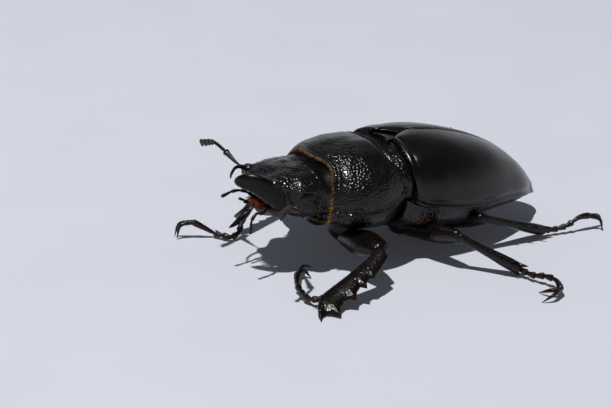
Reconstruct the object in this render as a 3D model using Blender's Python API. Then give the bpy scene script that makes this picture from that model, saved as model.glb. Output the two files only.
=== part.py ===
"""A life-size female stag beetle, standing on a flat floor with its feelers raised.

The sizes below are millimetres, and each mesh is scaled to metres as it is made. Two frames are
used. Floor points are (x, y, z) with the head towards -y, the left side towards +x and the floor
at z = 0. Body points are (x, s, z), where s runs back from the mandible tips to the tip of the
wing cases and z rises from the middle of the body. An empty holds the body's pitch and height.
"""
import bmesh
import bpy
import numpy as np
from mathutils import Vector

MM = 0.001
GAP = 0.3
BODY_LENGTH = 42.0
HALF_LENGTH = BODY_LENGTH / 2
BODY_PITCH = np.radians(8.19)
BODY_LIFT = 7.01
SPAN_MIDDLE = (0.044, 1.879)

# Body: where each part starts and ends along s
HEAD_FRONT, HEAD_REAR = 3.9, 9.05
PRONOTUM_FRONT, PRONOTUM_REAR = 9.35, 18.45
NECK_FRONT = 17.35
WING_CASE_FRONT, WING_CASE_REAR = 18.75, 41.5
THORAX_REAR, ABDOMEN_REAR = 27.1, 40.9
WIDEST = 8.25
RIM = 0.3
DOME_POWER = 2.25
SCUTELLUM_HALF_WIDTH, SCUTELLUM_TIP, SCUTELLUM_TOP = 1.42, 20.45, 5.55
END_SHARE = 0.75

BLACK_SHELL = ("0B0B0D", 0.28)
WING_SHELL = ("120D10", 0.22)
LEG_SHELL = ("140D0A", 0.32)
JAW_SHELL = ("18181A", 0.3)
EYE_LENS = ("1A1512", 0.2)
FEELER_SHELL = ("2A130A", 0.4)
MOUTH_SHELL = ("5A2A10", 0.5)


def smooth(stations, values, at):
    """Cubic Hermite curve through the values at their stations, with slopes from the neighbours."""
    x = np.asarray(stations, float)
    y = np.asarray(values, float)
    at = np.asarray(at, float)
    slope = np.gradient(y, x)
    i = np.clip(np.searchsorted(x, at, side="right") - 1, 0, len(x) - 2)
    step = x[i + 1] - x[i]
    t = np.clip((at - x[i]) / step, 0.0, 1.0)
    start = (1 + 2 * t) * (1 - t) ** 2 * y[i] + t * (1 - t) ** 2 * step * slope[i]
    end = t * t * (3 - 2 * t) * y[i + 1] - t * t * (1 - t) * step * slope[i + 1]
    return start + end


def unit(vector):
    vector = np.asarray(vector, float)
    return vector / np.linalg.norm(vector)


def on_floor(x, s, z):
    """The floor point of a body point, turned by the body's pitch and lifted."""
    y = s - HALF_LENGTH
    level = -y * np.sin(BODY_PITCH) + z * np.cos(BODY_PITCH) + BODY_LIFT
    return np.array([x, y * np.cos(BODY_PITCH) + z * np.sin(BODY_PITCH), level])


def linear(hex_colour):
    """Linear RGBA of an sRGB hex colour."""
    srgb = np.array([int(hex_colour[i:i + 2], 16) for i in (0, 2, 4)]) / 255
    channel = np.where(srgb <= 0.04045, srgb / 12.92, ((srgb + 0.055) / 1.055) ** 2.4)
    return (*channel, 1.0)


def finish(name, shell):
    colour, roughness = shell
    material = bpy.data.materials.new(name)
    material.use_nodes = True
    shader = material.node_tree.nodes["Principled BSDF"]
    shader.inputs["Base Color"].default_value = linear(colour)
    shader.inputs["Roughness"].default_value = roughness
    shader.inputs["Metallic"].default_value = 0.0
    return material


def solid(name, rings, shell, parent):
    """A closed mesh of rings joined by quads, with a fan about the middle of each end ring."""
    rings = np.asarray(rings, float)
    count, sides = rings.shape[:2]
    ends = [rings[0].mean(axis=0), rings[-1].mean(axis=0)]
    points = np.concatenate([rings.reshape(-1, 3), ends]) * MM
    first, last = count * sides, count * sides + 1
    faces = []
    for ring in range(count - 1):
        base = ring * sides
        for side in range(sides):
            after = (side + 1) % sides
            faces.append((base + side, base + after, base + sides + after, base + sides + side))
    for side in range(sides):
        after = (side + 1) % sides
        faces.append((first, after, side))
        faces.append((last, first - sides + side, first - sides + after))
    mesh = bpy.data.meshes.new(name)
    mesh.from_pydata(points.tolist(), [], faces)
    outward(mesh)
    obj = bpy.data.objects.new(name, mesh)
    obj.parent = parent
    mesh.materials.append(finish(name, shell))
    bpy.context.scene.collection.objects.link(obj)
    return obj


def outward(mesh):
    """Joins doubled points, drops empty faces, turns the faces outward and shades them smooth."""
    work = bmesh.new()
    work.from_mesh(mesh)
    bmesh.ops.remove_doubles(work, verts=work.verts, dist=0.001 * MM)
    bmesh.ops.dissolve_degenerate(work, edges=work.edges, dist=0.001 * MM)
    bmesh.ops.recalc_face_normals(work, faces=work.faces)
    work.to_mesh(mesh)
    work.free()
    mesh.shade_smooth()
    mesh.set_sharp_from_angle(angle=np.radians(40))


def keep_largest(mesh):
    """Keeps the closed surface of the mesh that holds the most volume."""
    work = bmesh.new()
    work.from_mesh(mesh)
    bmesh.ops.triangulate(work, faces=work.faces)
    unseen = set(work.faces)
    shells = []
    while unseen:
        front = [unseen.pop()]
        shell = []
        while front:
            face = front.pop()
            shell.append(face)
            for edge in face.edges:
                for other in edge.link_faces:
                    if other in unseen:
                        unseen.remove(other)
                        front.append(other)
        shells.append(shell)
    shells.sort(key=lambda shell: -abs(shell_volume(shell)))
    for shell in shells[1:]:
        bmesh.ops.delete(work, geom=shell, context="FACES")
    loose = [vert for vert in work.verts if not vert.link_faces]
    bmesh.ops.delete(work, geom=loose, context="VERTS")
    work.to_mesh(mesh)
    work.free()
    mesh.shade_smooth()
    mesh.set_sharp_from_angle(angle=np.radians(40))


def shell_volume(faces):
    """Volume inside triangles, from the solid angle of each about the origin."""
    return sum(f.verts[0].co.dot(f.verts[1].co.cross(f.verts[2].co)) for f in faces) / 6


def combine(target, pieces, operation, solver="EXACT"):
    """One Boolean of the target with a collection of closed pieces, applied, then tidied up."""
    gathered = bpy.data.collections.new("pieces")
    bpy.context.scene.collection.children.link(gathered)
    for piece in pieces:
        gathered.objects.link(piece)
    modifier = target.modifiers.new("combine", "BOOLEAN")
    modifier.operation = operation
    modifier.solver = solver
    modifier.operand_type = "COLLECTION"
    modifier.collection = gathered
    bpy.context.view_layer.update()
    graph = bpy.context.evaluated_depsgraph_get()
    mesh = bpy.data.meshes.new_from_object(target.evaluated_get(graph))
    target.modifiers.clear()
    shell = target.data.materials[0]
    target.data = mesh
    mesh.materials.clear()
    mesh.materials.append(shell)
    for piece in pieces:
        bpy.data.objects.remove(piece)
    bpy.data.collections.remove(gathered)
    keep_largest(mesh)


def grown(obj, by):
    """A copy of the object with each face moved outward by the given number of millimetres."""
    copy = obj.copy()
    copy.data = obj.data.copy()
    bpy.context.scene.collection.objects.link(copy)
    work = bmesh.new()
    work.from_mesh(copy.data)
    moved = [v.co + v.normal * by * MM * min(v.calc_shell_factor(), 1.6) for v in work.verts]
    for vert, place in zip(work.verts, moved):
        vert.co = place
    work.to_mesh(copy.data)
    work.free()
    return copy


def carve(target, *neighbours):
    """Cuts the target clear of its neighbours by the gap."""
    combine(target, [grown(neighbour, GAP) for neighbour in neighbours], "DIFFERENCE")


def tube(name, path, across, along, facing, shell, parent, sides=8, ends=(None, None)):
    """An elliptic tube: half-width `across` the path and half-thickness `along` the facing line.

    An end with a plane normal is cut on that plane, so that two pieces meet face to face.
    """
    path = np.asarray(path, float)
    count = len(path)
    across = np.broadcast_to(across, count)
    along = np.broadcast_to(along, count)
    tangents = np.gradient(path, axis=0)
    turns = np.arange(sides) / sides * 2 * np.pi
    rings = []
    for i in range(count):
        tangent = unit(tangents[i])
        side = unit(np.cross(tangent, facing))
        up = np.cross(side, tangent)
        offset = np.outer(np.cos(turns) * across[i], side) + np.outer(np.sin(turns) * along[i], up)
        plane = ends[0] if i == 0 else ends[1] if i == count - 1 else None
        if plane is not None:
            offset -= np.outer(offset @ plane / (tangent @ plane), tangent)
        rings.append(path[i] + offset)
    return solid(name, rings, shell, parent)


def spine(root, tip, radius, parent, sides=5, flat=1.0, facing=(0, 0, 1)):
    """A slightly curved cone from a sunk root to its tip, to be joined to a leg."""
    root = np.asarray(root, float)
    tip = np.asarray(tip, float)
    path = [root, root * 0.45 + tip * 0.55, tip]
    width = np.array([1.0, 0.62, 0.12]) * radius
    return tube("spine", path, width, width * flat, facing, LEG_SHELL, parent, sides)


def stand(obj):
    """Cuts the object on the floor, which leaves a small flat under what touches it."""
    work = bmesh.new()
    work.from_mesh(obj.data)
    everything = work.verts[:] + work.edges[:] + work.faces[:]
    bmesh.ops.bisect_plane(
        work, geom=everything, dist=0.0005 * MM, plane_co=(0, 0, 0),
        plane_no=(0, 0, 1), clear_inner=True)
    open_edges = [edge for edge in work.edges if edge.is_boundary]
    if open_edges:
        bmesh.ops.holes_fill(work, edges=open_edges)
    bmesh.ops.recalc_face_normals(work, faces=work.faces)
    work.to_mesh(obj.data)
    work.free()
    keep_largest(obj.data)


# Body outline: half-width, margin height, crown height and belly depth along s


def pronotum_half_width(s):
    return smooth([9.25, 11, 13, 15, 17, 18.45], [5.4, 7.2, 7.9, 7.95, 7.4, 6.7], s)


def pronotum_margin(s):
    return smooth([9.25, 11, 13, 15, 17, 18.45], [-1.7, -1.45, -1.2, -0.85, 0.0, 1.0], s)


def pronotum_crown(s):
    return smooth([9.25, 11, 13, 15, 17, 18.45], [2.8, 4.1, 4.8, 5.1, 5.0, 4.5], s)


def wing_half_width(s):
    """Widths from the shoulder back, drawn in to a round tip over the last stretch."""
    along = smooth([18.75, 19.4, 20.2, 22, 25, 28, 31, 34, 37, 39.5],
                   [7.45, 7.7, 7.9, 8.2, WIDEST, 7.9, 7.15, 6.05, 4.8, 3.5], np.minimum(s, 39.5))
    reach = np.clip((s - 35) / (WING_CASE_REAR - 35), 0, 1)
    return along * np.sqrt(1 - reach ** 2.8)


def wing_margin(s):
    return smooth([18.75, 20.2, 22, 24.5, 28, 33, 38, 41.9],
                  [-0.1, -0.5, -0.55, -0.7, -0.75, -0.65, -1.0, -1.7], s)


def wing_crown(s):
    return smooth([18.75, 19.4, 20.7, 24, 28, 32, 36, 39, 41, 41.9],
                  [5.5, 5.65, 5.85, 6.05, 5.75, 5.0, 3.35, 1.3, -0.6, -1.5], s)


def belly(s):
    return smooth([9.25, 12, 15, 18.45, 22, 26, 30, 34, 38, 41.2],
                  [-3.3, -4.1, -4.5, -4.6, -4.7, -4.7, -4.1, -3.4, -2.8, -2.6], s)


def bent(angle, power):
    """Cosine-like and sine-like values that trace a superellipse of the power."""
    c, s = np.cos(angle), np.sin(angle)
    return (np.sign(c) * np.abs(c) ** (2 / power), np.sign(s) * np.abs(s) ** (2 / power))


def pronotum_front(side):
    """The front edge along s, from -1 at one corner to 1 at the other, hollowed beside the head."""
    bay = np.sin(np.pi * np.clip(np.abs(side), 0, 1)) ** 2
    return PRONOTUM_FRONT + 0.15 + 0.55 * bay


def pronotum_rear(side):
    """The rear edge along s, which runs back at the corners."""
    return 16.65 + 1.75 * np.abs(side) ** 4


def dome_rings(shares, front, rear, half_width, margin, crown, arc=18):
    """Rings of a domed shell: a superelliptic arc over a flat floor, with a rim under its margin.

    Each point's s lies between the front and rear edges at the point's own place across.
    """
    angles = np.linspace(-np.pi / 2, np.pi / 2, arc + 1)
    rise, spread = bent(angles, DOME_POWER)
    edge = np.sin(angles)
    inset = np.array([0.94, 0.5, -0.5, -0.94])
    rings = []
    for u in shares:
        s = front(edge) + (rear(edge) - front(edge)) * u
        low, high = margin(s), crown(s)
        over = np.stack([half_width(s) * spread, s - HALF_LENGTH, low + (high - low) * rise], 1)
        s = front(inset) + (rear(inset) - front(inset)) * u
        under = np.stack([half_width(s) * inset, s - HALF_LENGTH, margin(s) - RIM], 1)
        rings.append(np.concatenate([over, under]))
    return rings


def facing_ring(ring, share, s):
    """A smaller copy of an end ring, flat at s, so that the end faces its neighbour squarely."""
    ring = np.asarray(ring)
    middle = ring.mean(axis=0)
    inner = middle + (ring - middle) * share
    inner[:, 1] = s - HALF_LENGTH
    return inner


def keel_rings(stations, half_width, top, bottom, power=DOME_POWER, arc=14):
    """Rings of an underside: a flat top and a superelliptic keel below it."""
    angles = np.linspace(-np.pi / 2, np.pi / 2, arc + 1)
    drop, spread = bent(angles, power)
    rings = []
    for s in stations:
        w, high, low = half_width(s), top(s), bottom(s)
        keel = np.stack([w * spread, np.full_like(drop, s - HALF_LENGTH), high - (high - low) * drop], 1)
        inset = np.array([0.4, -0.4]) * w
        over = np.stack([inset, np.full(2, s - HALF_LENGTH), np.full(2, high)], 1)
        rings.append(np.concatenate([keel, over]))
    return rings


def make_head(body):
    stations = np.array([HEAD_FRONT, 4.15, 4.6, 5.2, 5.9, 6.6, 7.4, 8.2, HEAD_REAR])
    half_width = smooth([3.9, 4.3, 5.2, 6.2, 7.2, 8.2, 8.95], [3.1, 3.5, 3.95, 4.75, 5.15, 5.1, 4.7],
                        stations)
    top = smooth([3.9, 4.5, 5.5, 7, 8.95], [1.1, 1.5, 1.9, 2.25, 2.5], stations)
    bottom = smooth([3.9, 4.5, 5.5, 7, 8.95], [-1.3, -2.0, -2.7, -3.1, -3.0], stations)
    middle = smooth([3.9, 5.5, 8.95], [0.1, -0.1, -0.6], stations)
    angles = np.linspace(0, 2 * np.pi, 20, endpoint=False)
    spread, rise = bent(angles, 2.5)
    rings = []
    for s, w, high, low, mid in zip(stations, half_width, top, bottom, middle):
        height = np.where(rise > 0, high - mid, mid - low) * rise + mid
        rings.append(np.stack([w * spread, np.full_like(rise, s - HALF_LENGTH), height], 1))
    return solid("head", rings, BLACK_SHELL, body)


def ellipsoid(name, centre, radii, shell, parent, sides=12, rows=7):
    """An ellipsoid of rings along its x line."""
    x, s, z = centre
    angles = np.linspace(0, 2 * np.pi, sides, endpoint=False)
    rings = []
    for latitude in np.linspace(-0.5, 0.5, rows + 2)[1:-1] * np.pi:
        size = np.cos(latitude)
        ring = np.stack([np.full(sides, x + radii[0] * np.sin(latitude)),
                         s - HALF_LENGTH + radii[1] * size * np.cos(angles),
                         z + radii[2] * size * np.sin(angles)], 1)
        rings.append(ring)
    obj = solid(name, rings, shell, parent)
    for pole, way in ((len(obj.data.vertices) - 2, -1), (len(obj.data.vertices) - 1, 1)):
        obj.data.vertices[pole].co.x = (x + way * radii[0]) * MM
    return obj


# Mouth and feelers. The jaws are caught in mid bite, so the two paths differ


JAWS = {
    "l": {
        "path": [(2.55, 5.0, -1.0), (2.8, 3.9, -0.5), (2.75, 3.2, 0.0), (2.5, 2.4, 0.4), (1.95, 1.5, 0.75),
                 (1.1, 0.6, 0.75), (0.4, 0.05, 0.55)],
        "widths": [1.0, 0.95, 0.85, 0.7, 0.55, 0.42, 0.16],
        "heights": [1.2, 1.25, 1.2, 1.1, 0.95, 0.75, 0.26],
        "tooth": ((2.4, 2.6, 0.3), (0.8, 2.1, 0.6)),
    },
    "r": {
        "path": [(-2.55, 5.0, -1.1), (-2.85, 3.9, -0.2), (-2.85, 3.1, 0.85), (-2.65, 2.3, 1.15),
                 (-2.4, 1.6, 1.1), (-1.95, 0.95, 0.65), (-0.95, 0.28, 0.42)],
        "widths": [1.0, 0.95, 0.6, 0.38, 0.3, 0.28, 0.14],
        "heights": [1.2, 1.1, 0.65, 0.4, 0.3, 0.28, 0.14],
        "tooth": ((-2.8, 3.5, 0.2), (-1.3, 3.2, 0.5)),
    },
}
LONG_PALPS = {
    "l": [(1.6, 4.6, -2.2), (2.6, 3.1, -2.05), (3.0, 2.4, -2.25), (3.3, 1.4, -2.25), (3.45, 1.0, -2.9),
          (3.5, 0.9, -4.4)],
    "r": [(-1.6, 4.6, -2.4), (-1.4, 3.0, -1.5), (-1.1, 1.7, -1.05), (-0.9, 0.6, -1.1), (-0.75, -0.2, -1.3),
          (-0.6, -0.8, -1.5)],
}
SHORT_PALP = [(0.7, 4.6, -2.5), (0.75, 3.2, -2.4), (0.6, 2.2, -2.0), (0.5, 1.4, -1.7)]
LONG_PALP_RADII = [0.28, 0.3, 0.27, 0.3, 0.3, 0.22]
SHORT_PALP_RADII = [0.27, 0.28, 0.3, 0.2]

# A feeler's root is a body point. Its elbow, its tip and the way that its comb faces are on the floor's axes
FEELERS = {
    "l": ((3.1, 5.0, 0.2), (8.6, -17.9, 9.6), (10.4, -21.0, 10.35), (0.1, 0.1, -1.0)),
    "r": ((-3.1, 5.0, 0.2), (-7.1, -17.7, 11.15), (-6.2, -21.2, 13.1), (0.81, -0.11, -0.58)),
}
CLUB_LEAVES = ((0.65, 0.56), (0.85, 0.68), (0.95, 0.81), (0.95, 0.95))


def placed(points, side=1):
    """Body points mirrored to a side and moved so that the body's middle is the origin."""
    return np.asarray(points, float) * (side, 1, 1) - (0, HALF_LENGTH, 0)


def make_mouth(body, side, hand):
    """Eye and mandible of one side; the side is 1 on the left and -1 on the right."""
    eye = ellipsoid("eye_" + hand, (side * 4.7, 7.0, -0.1), (0.8, 1.05, 0.8), EYE_LENS, body, 12, 6)
    jaw = JAWS[hand]
    mandible = tube("mandible_" + hand, placed(jaw["path"]), jaw["widths"], jaw["heights"], (0, 0, 1),
                    JAW_SHELL, body, 10)
    root, tip = jaw["tooth"]
    combine(mandible, [spine(placed(root), placed(tip), 0.6, body, 8, 0.7)], "UNION")
    return eye, mandible


def make_palps(body, side, hand):
    """The long palp of a side, which hangs from the mouth in its own way, and the short one beside it."""
    maxillary = tube("palp_long_" + hand, placed(LONG_PALPS[hand]), LONG_PALP_RADII, LONG_PALP_RADII,
                     (0.3, 0, 1), FEELER_SHELL, body, 7)
    labial = tube("palp_short_" + hand, placed(SHORT_PALP, side), SHORT_PALP_RADII, SHORT_PALP_RADII,
                  (0, 0, 1), FEELER_SHELL, body, 6)
    return maxillary, labial


def make_antenna(floor, hand):
    """A scape to the elbow, then small joints and a comb of four leaves."""
    root, elbow, tip, facing = FEELERS[hand]
    root, elbow, tip = on_floor(*root), np.array(elbow), np.array(tip)
    inward, outward_way = unit(elbow - root), unit(tip - elbow)
    mitre = unit(inward + outward_way)
    back = GAP / 2 / (inward @ mitre)
    t = np.array([0, 0.25, 0.55, 0.85, 1.0])[:, None]
    path = root + (elbow - inward * back - root) * t
    thick = [0.26, 0.26, 0.28, 0.36, 0.32]
    scape = tube("scape_" + hand, path, thick, thick, facing, FEELER_SHELL, floor, 8, (None, mitre))
    length = np.linalg.norm(tip - elbow)
    start = elbow + outward_way * back
    steps = np.array([0, 0.09, 0.13, 0.22, 0.26, 0.35, 0.39, 0.5, 0.58, 0.8, 1.0])
    thick = [0.3, 0.36, 0.27, 0.34, 0.27, 0.36, 0.27, 0.36, 0.33, 0.42, 0.3]
    path = start + outward_way * (length - back) * steps[:, None]
    flagellum = tube("antenna_" + hand, path, thick, thick, facing, FEELER_SHELL, floor, 8, (mitre, None))
    leaf_way = unit(np.asarray(facing) - np.dot(facing, outward_way) * outward_way)
    leaves = []
    for reach, share in CLUB_LEAVES:
        base = start + outward_way * length * share
        leaf = [base - leaf_way * 0.1, base + leaf_way * reach * 0.6 + outward_way * 0.12,
                base + leaf_way * reach + outward_way * 0.3]
        leaves.append(tube("leaf", leaf, [0.26, 0.38, 0.2], [0.18, 0.2, 0.14], outward_way, FEELER_SHELL,
                           floor, 8))
    combine(flagellum, leaves, "UNION")
    return scape


# Legs: the hip is a body point and the others are floor points, one leg each


LEGS = {
    "front_l": {
        "hip": (3.6, 13.2, -5.1), "knee": (11.2, -9.0, 4.3), "ankle": (12.8, -17.5, 1.15),
        "toes": [(11.7, -17.95, 0.7), (9.75, -17.75, 0.6), (8.1, -17.25, 0.65), (5.5, -15.7, 0.8)],
        "claws": [(3.4, -12.6, -0.1), (6.0, -14.2, -0.1)],
        "fork": (15.95, -19.15, -0.15), "edge": (0.93, 0.2, -0.25), "breadth": 1.2,
    },
    "front_r": {
        "hip": (-3.6, 13.2, -5.1), "knee": (-11.0, -8.1, 6.2), "ankle": (-7.6, -14.9, 1.9),
        "toes": [(-7.5, -15.6, 0.75), (-7.3, -16.55, 0.5), (-8.2, -17.35, 0.55), (-9.16, -17.85, 0.6),
                 (-9.7, -18.8, 1.2), (-10.4, -20.1, 2.0)],
        "claws": [(-10.6, -21.7, -0.1), (-11.55, -21.5, -0.1)],
        "fork": (-8.9, -15.5, -0.15), "edge": (-0.84, -0.25, -0.3), "breadth": 0.8,
    },
    "middle_l": {
        "hip": (3.0, 21.3, -4.8), "knee": (11.3, 1.5, 3.8), "ankle": (16.3, 6.4, 0.75),
        "toes": [(18.1, 6.7, 0.75), (19.3, 7.2, 1.0), (20.7, 7.5, 1.1), (22.9, 6.6, 0.9)],
        "claws": [(20.8, 5.3, -0.1), (23.0, 4.0, -0.1)],
    },
    "middle_r": {
        "hip": (-3.0, 21.3, -4.8), "knee": (-11.4, 1.8, 3.85), "ankle": (-16.6, 6.4, 0.75),
        "toes": [(-17.9, 7.0, 0.75), (-19.2, 7.4, 1.0), (-20.6, 7.6, 1.1), (-22.6, 7.0, 0.9)],
        "claws": [(-20.9, 5.4, -0.1), (-23.1, 4.6, -0.1)],
    },
    "hind_l": {
        "hip": (1.9, 26.8, -4.6), "knee": (8.3, 7.1, 3.85), "ankle": (8.5, 15.8, 0.75),
        "toes": [(8.7, 17.2, 0.7), (9.0, 19.0, 1.0), (9.1, 20.6, 1.7), (9.2, 22.2, 1.7)],
        "claws": [(8.9, 24.2, -0.1), (10.5, 23.1, -0.1)],
    },
    "hind_r": {
        "hip": (-1.9, 26.8, -4.6), "knee": (-9.0, 9.4, 4.8), "ankle": (-14.5, 17.0, 1.2),
        "toes": [(-15.7, 18.4, 1.2), (-17.4, 20.4, 2.2), (-18.9, 22.1, 2.95), (-20.5, 23.7, 2.95)],
        "claws": [(-22.3, 25.6, -0.1), (-23.3, 24.4, -0.1)],
    },
}
COXAE = {
    "front": ((2.6, 13.4, -4.3), (2.0, 1.6, 1.7)),
    "middle": ((2.6, 21.2, -4.3), (1.7, 1.4, 1.3)),
    "hind": ((3.3, 26.3, -4.0), (3.0, 1.15, 1.2)),
}
THIGH_SCALE = {"front": 1.32, "middle": 1.0, "hind": 1.0}
TIBIA_HALF_WIDTHS = {"front": (0.8, 1.0), "middle": (0.56, 0.9), "hind": (0.56, 0.9)}

# Teeth of a shin: the share of its length where each stands, its reach out and its lean towards the foot
FRONT_TEETH = ((0.27, 0.18, 0.2), (0.5, 0.52, 0.55), (0.69, 0.68, 0.62), (0.9, 1.0, 1.2))
SLIM_TEETH = ((0.42, 0.45, 0.3), (0.62, 0.75, 0.45), (0.8, 0.9, 0.6))
CLAW_RADII = [0.3, 0.25, 0.12]
NEARLY_UP = (0.05, 0.02, 1.0)


def make_coxa(body, pair, side, hand):
    centre, radii = COXAE[pair]
    return ellipsoid("coxa_" + pair + "_" + hand, (side * centre[0], *centre[1:]), radii, LEG_SHELL, body,
                     12, 6)


def make_leg(floor, pair, hand, coxa, underside):
    """Femur, tibia and tarsus of a leg, flattened in the plane of the hip, knee and ankle."""
    leg = LEGS[pair + "_" + hand]
    tag = pair + "_" + hand
    hip = on_floor(*leg["hip"])
    knee, ankle = np.array(leg["knee"]), np.array(leg["ankle"])
    thigh_way, shin_way = unit(knee - hip), unit(ankle - knee)
    plane = unit(np.cross(thigh_way, shin_way))
    outer = unit(thigh_way - thigh_way @ shin_way * shin_way)
    mitre = unit(thigh_way + shin_way)
    back = GAP / 2 / (shin_way @ mitre)

    shares = np.array([0, 0.12, 0.3, 0.5, 0.7, 0.88, 1.0])
    path = hip + (knee - thigh_way * back - hip) * shares[:, None]
    wide = smooth([0, 0.25, 0.55, 0.85, 1], [0.85, 1.15, 1.35, 0.95, 0.62], shares) * THIGH_SCALE[pair]
    femur = tube("femur_" + tag, path, wide, wide * 0.68, plane, LEG_SHELL, floor, 10, (None, mitre))
    for neighbour in (coxa, *underside):
        carve(femur, neighbour)

    breadth = leg.get("breadth", 1.0)
    slim, broad = np.array(TIBIA_HALF_WIDTHS[pair]) * breadth
    lean = 1.0 if pair == "front" else 0.0
    if pair == "front":
        edge = np.array(leg["edge"])
        outer = unit(edge - edge @ shin_way * shin_way)
        plane = unit(np.cross(shin_way, outer))
    shares = np.array([0, 0.1, 0.3, 0.5, 0.7, 0.88, 1.0])
    wide = smooth([0, 0.15, 0.5, 0.85, 1], [0.6, slim, slim * 0.55 + broad * 0.45, broad, broad * 0.95],
                  shares)
    start = knee + shin_way * back
    aside = (wide - wide[0] * (1 - shares)) * lean
    centres = start + (ankle - start) * shares[:, None] + np.outer(aside, outer)
    tibia = tube("tibia_" + tag, centres, wide, np.clip(wide * 0.66, 0.4, 0.6), plane, LEG_SHELL, floor, 10,
                 (mitre, shin_way))
    carve(tibia, femur)
    length = np.linalg.norm(ankle - start)
    spines = []
    for share, reach, forward in (FRONT_TEETH if pair == "front" else SLIM_TEETH):
        half = np.interp(share, shares, wide)
        centre = start + shin_way * length * share + outer * np.interp(share, shares, aside)
        tip = centre + outer * (half + reach * breadth) + shin_way * forward
        thick = 0.35 + 0.3 * reach if pair == "front" else 0.3
        spines.append(spine(centre + outer * half * 0.2, tip, thick, floor, 6, 0.6, plane))
    end = centres[-1]
    if pair == "front":
        spines.append(spine(end - shin_way * 0.9 + outer * 0.3, leg["fork"], 0.7, floor, 6, 0.6, plane))
        spur = end + shin_way * 0.9 - outer * 1.3
        spines.append(spine(end - shin_way * 0.7 - outer * 0.7, spur, 0.25, floor, 6))
    else:
        for way in (-1, 1):
            foot = end + plane * way * 0.15 - shin_way * 0.6
            spur = end + shin_way * 0.5 + outer * way * 1.1 + plane * way * 0.35
            spines.append(spine(foot + outer * way * 0.5, spur, 0.3, floor, 6))
    combine(tibia, spines, "UNION")

    knots = np.array([ankle - shin_way * 0.15 + outer * 0.55 * lean, *leg["toes"]])
    run = np.concatenate([[0], np.cumsum(np.linalg.norm(np.diff(knots, axis=0), axis=1))])
    joints = np.array([0, 0.16, 0.31, 0.46, 0.61, 1.0]) * run[-1]
    at, thick = [], []
    for k in range(5):
        span = joints[k + 1] - joints[k]
        at += [joints[k] + 0.12 * span * (k > 0), joints[k] + 0.72 * span, joints[k + 1]]
        thick += [0.27, 0.38, 0.32] if k < 4 else [0.26, 0.31, 0.36]
    path = np.stack([smooth(run, knots[:, axis], at) for axis in range(3)], 1)
    tarsus = tube("tarsus_" + tag, path, thick, thick, NEARLY_UP, LEG_SHELL, floor, 8, (shin_way, None))
    carve(tibia, tarsus)
    claws = []
    ending = path[-1]
    for tip in leg["claws"]:
        tip = np.array(tip)
        back = path[-1] - unit(path[-1] - path[-2]) * 0.4
        bend = (ending + tip) / 2 + unit(path[-1] - path[-2]) * 0.45 + np.array([0, 0, 0.35])
        claws.append(tube("claw", [back, bend, tip], CLAW_RADII, CLAW_RADII, NEARLY_UP, LEG_SHELL, floor, 6))
    combine(tarsus, claws, "UNION")
    for piece in (tibia, tarsus):
        stand(piece)


def make_wing_case(body, side, hand):
    """One half of the wing dome, with a notch at the middle of its front for the scutellum."""
    share = np.linspace(0, 1, 22)
    stations = WING_CASE_FRONT + (WING_CASE_REAR - WING_CASE_FRONT) * (1 - (1 - share) ** 1.5)
    angles = np.linspace(0, np.pi / 2, 12)
    rise, spread = bent(angles, DOME_POWER)
    rings = []
    for s, u in zip(stations, share):
        w, low, high = max(float(wing_half_width(s)), 0.7), float(wing_margin(s)), float(wing_crown(s))
        x = np.concatenate([GAP / 2 + (w - GAP / 2) * spread, [w * 0.94, w * 0.5, GAP / 2]])
        z = np.concatenate([low + (high - low) * rise, np.full(3, low - RIM)])
        notch = np.clip(1.85 - x, 0, None) * 1.2 * (1 - u) ** 8
        rings.append(np.stack([side * x, s + notch - HALF_LENGTH, z], 1))
    return solid("wing_case_" + hand, rings, WING_SHELL, body)


def make_scutellum(body):
    """The small triangle between the wing cases, as deep as their front faces."""
    front = PRONOTUM_REAR + GAP
    high, low = SCUTELLUM_TOP, wing_margin(front) - RIM
    corners = [(-SCUTELLUM_HALF_WIDTH, front), (SCUTELLUM_HALF_WIDTH, front), (0.0, SCUTELLUM_TIP)]
    rings = [placed([(x, s, z) for x, s in corners]) for z in (float(low), high)]
    return solid("scutellum", rings, BLACK_SHELL, body)


def make_body(body):
    rings = dome_rings(np.linspace(0, 1, 11), pronotum_front, pronotum_rear,
                       pronotum_half_width, pronotum_margin, pronotum_crown)
    before = facing_ring(rings[0], END_SHARE, HEAD_REAR + GAP)
    after = facing_ring(rings[-1], END_SHARE, NECK_FRONT - GAP)
    rings = [before, *rings, after]
    pronotum = solid("pronotum", rings, BLACK_SHELL, body)
    neck = dome_rings(np.linspace(0, 1, 3), lambda side: NECK_FRONT + 0 * side,
                      lambda side: WING_CASE_FRONT - GAP + 0 * side, lambda s: 4.5 + 0 * s,
                      lambda s: pronotum_margin(PRONOTUM_REAR) + 0 * s, lambda s: 3.7 + 0 * s, 12)
    solid("mesothorax", neck, BLACK_SHELL, body)
    shield = np.linspace(PRONOTUM_FRONT, PRONOTUM_REAR, 9)
    prosternum = solid("prosternum", keel_rings(shield, lambda s: pronotum_half_width(s) - 0.5,
                       lambda s: pronotum_margin(s) - RIM - GAP, belly), BLACK_SHELL, body)
    chest = np.linspace(WING_CASE_FRONT, THORAX_REAR, 9)
    metathorax = solid("metathorax", keel_rings(chest, lambda s: wing_half_width(s) - 0.6,
                       lambda s: wing_margin(s) - RIM - GAP, belly), BLACK_SHELL, body)
    seams = np.linspace(THORAX_REAR + GAP, 39.4, 6)
    stations = np.sort(np.concatenate([seams, seams[1:-1] + 0.25, [40.2, ABDOMEN_REAR]]))
    step = np.where(np.isin(stations, seams[1:-1]), 0.18, 0.0)
    lift = dict(zip(stations, step))
    rings = keel_rings(stations, lambda s: np.maximum(wing_half_width(s) - 0.8, 0.4),
                       lambda s: wing_margin(s) - RIM - GAP, lambda s: belly(s) + lift[s], 1.6)
    abdomen = solid("abdomen", rings, BLACK_SHELL, body)
    return pronotum, prosternum, metathorax, abdomen


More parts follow.
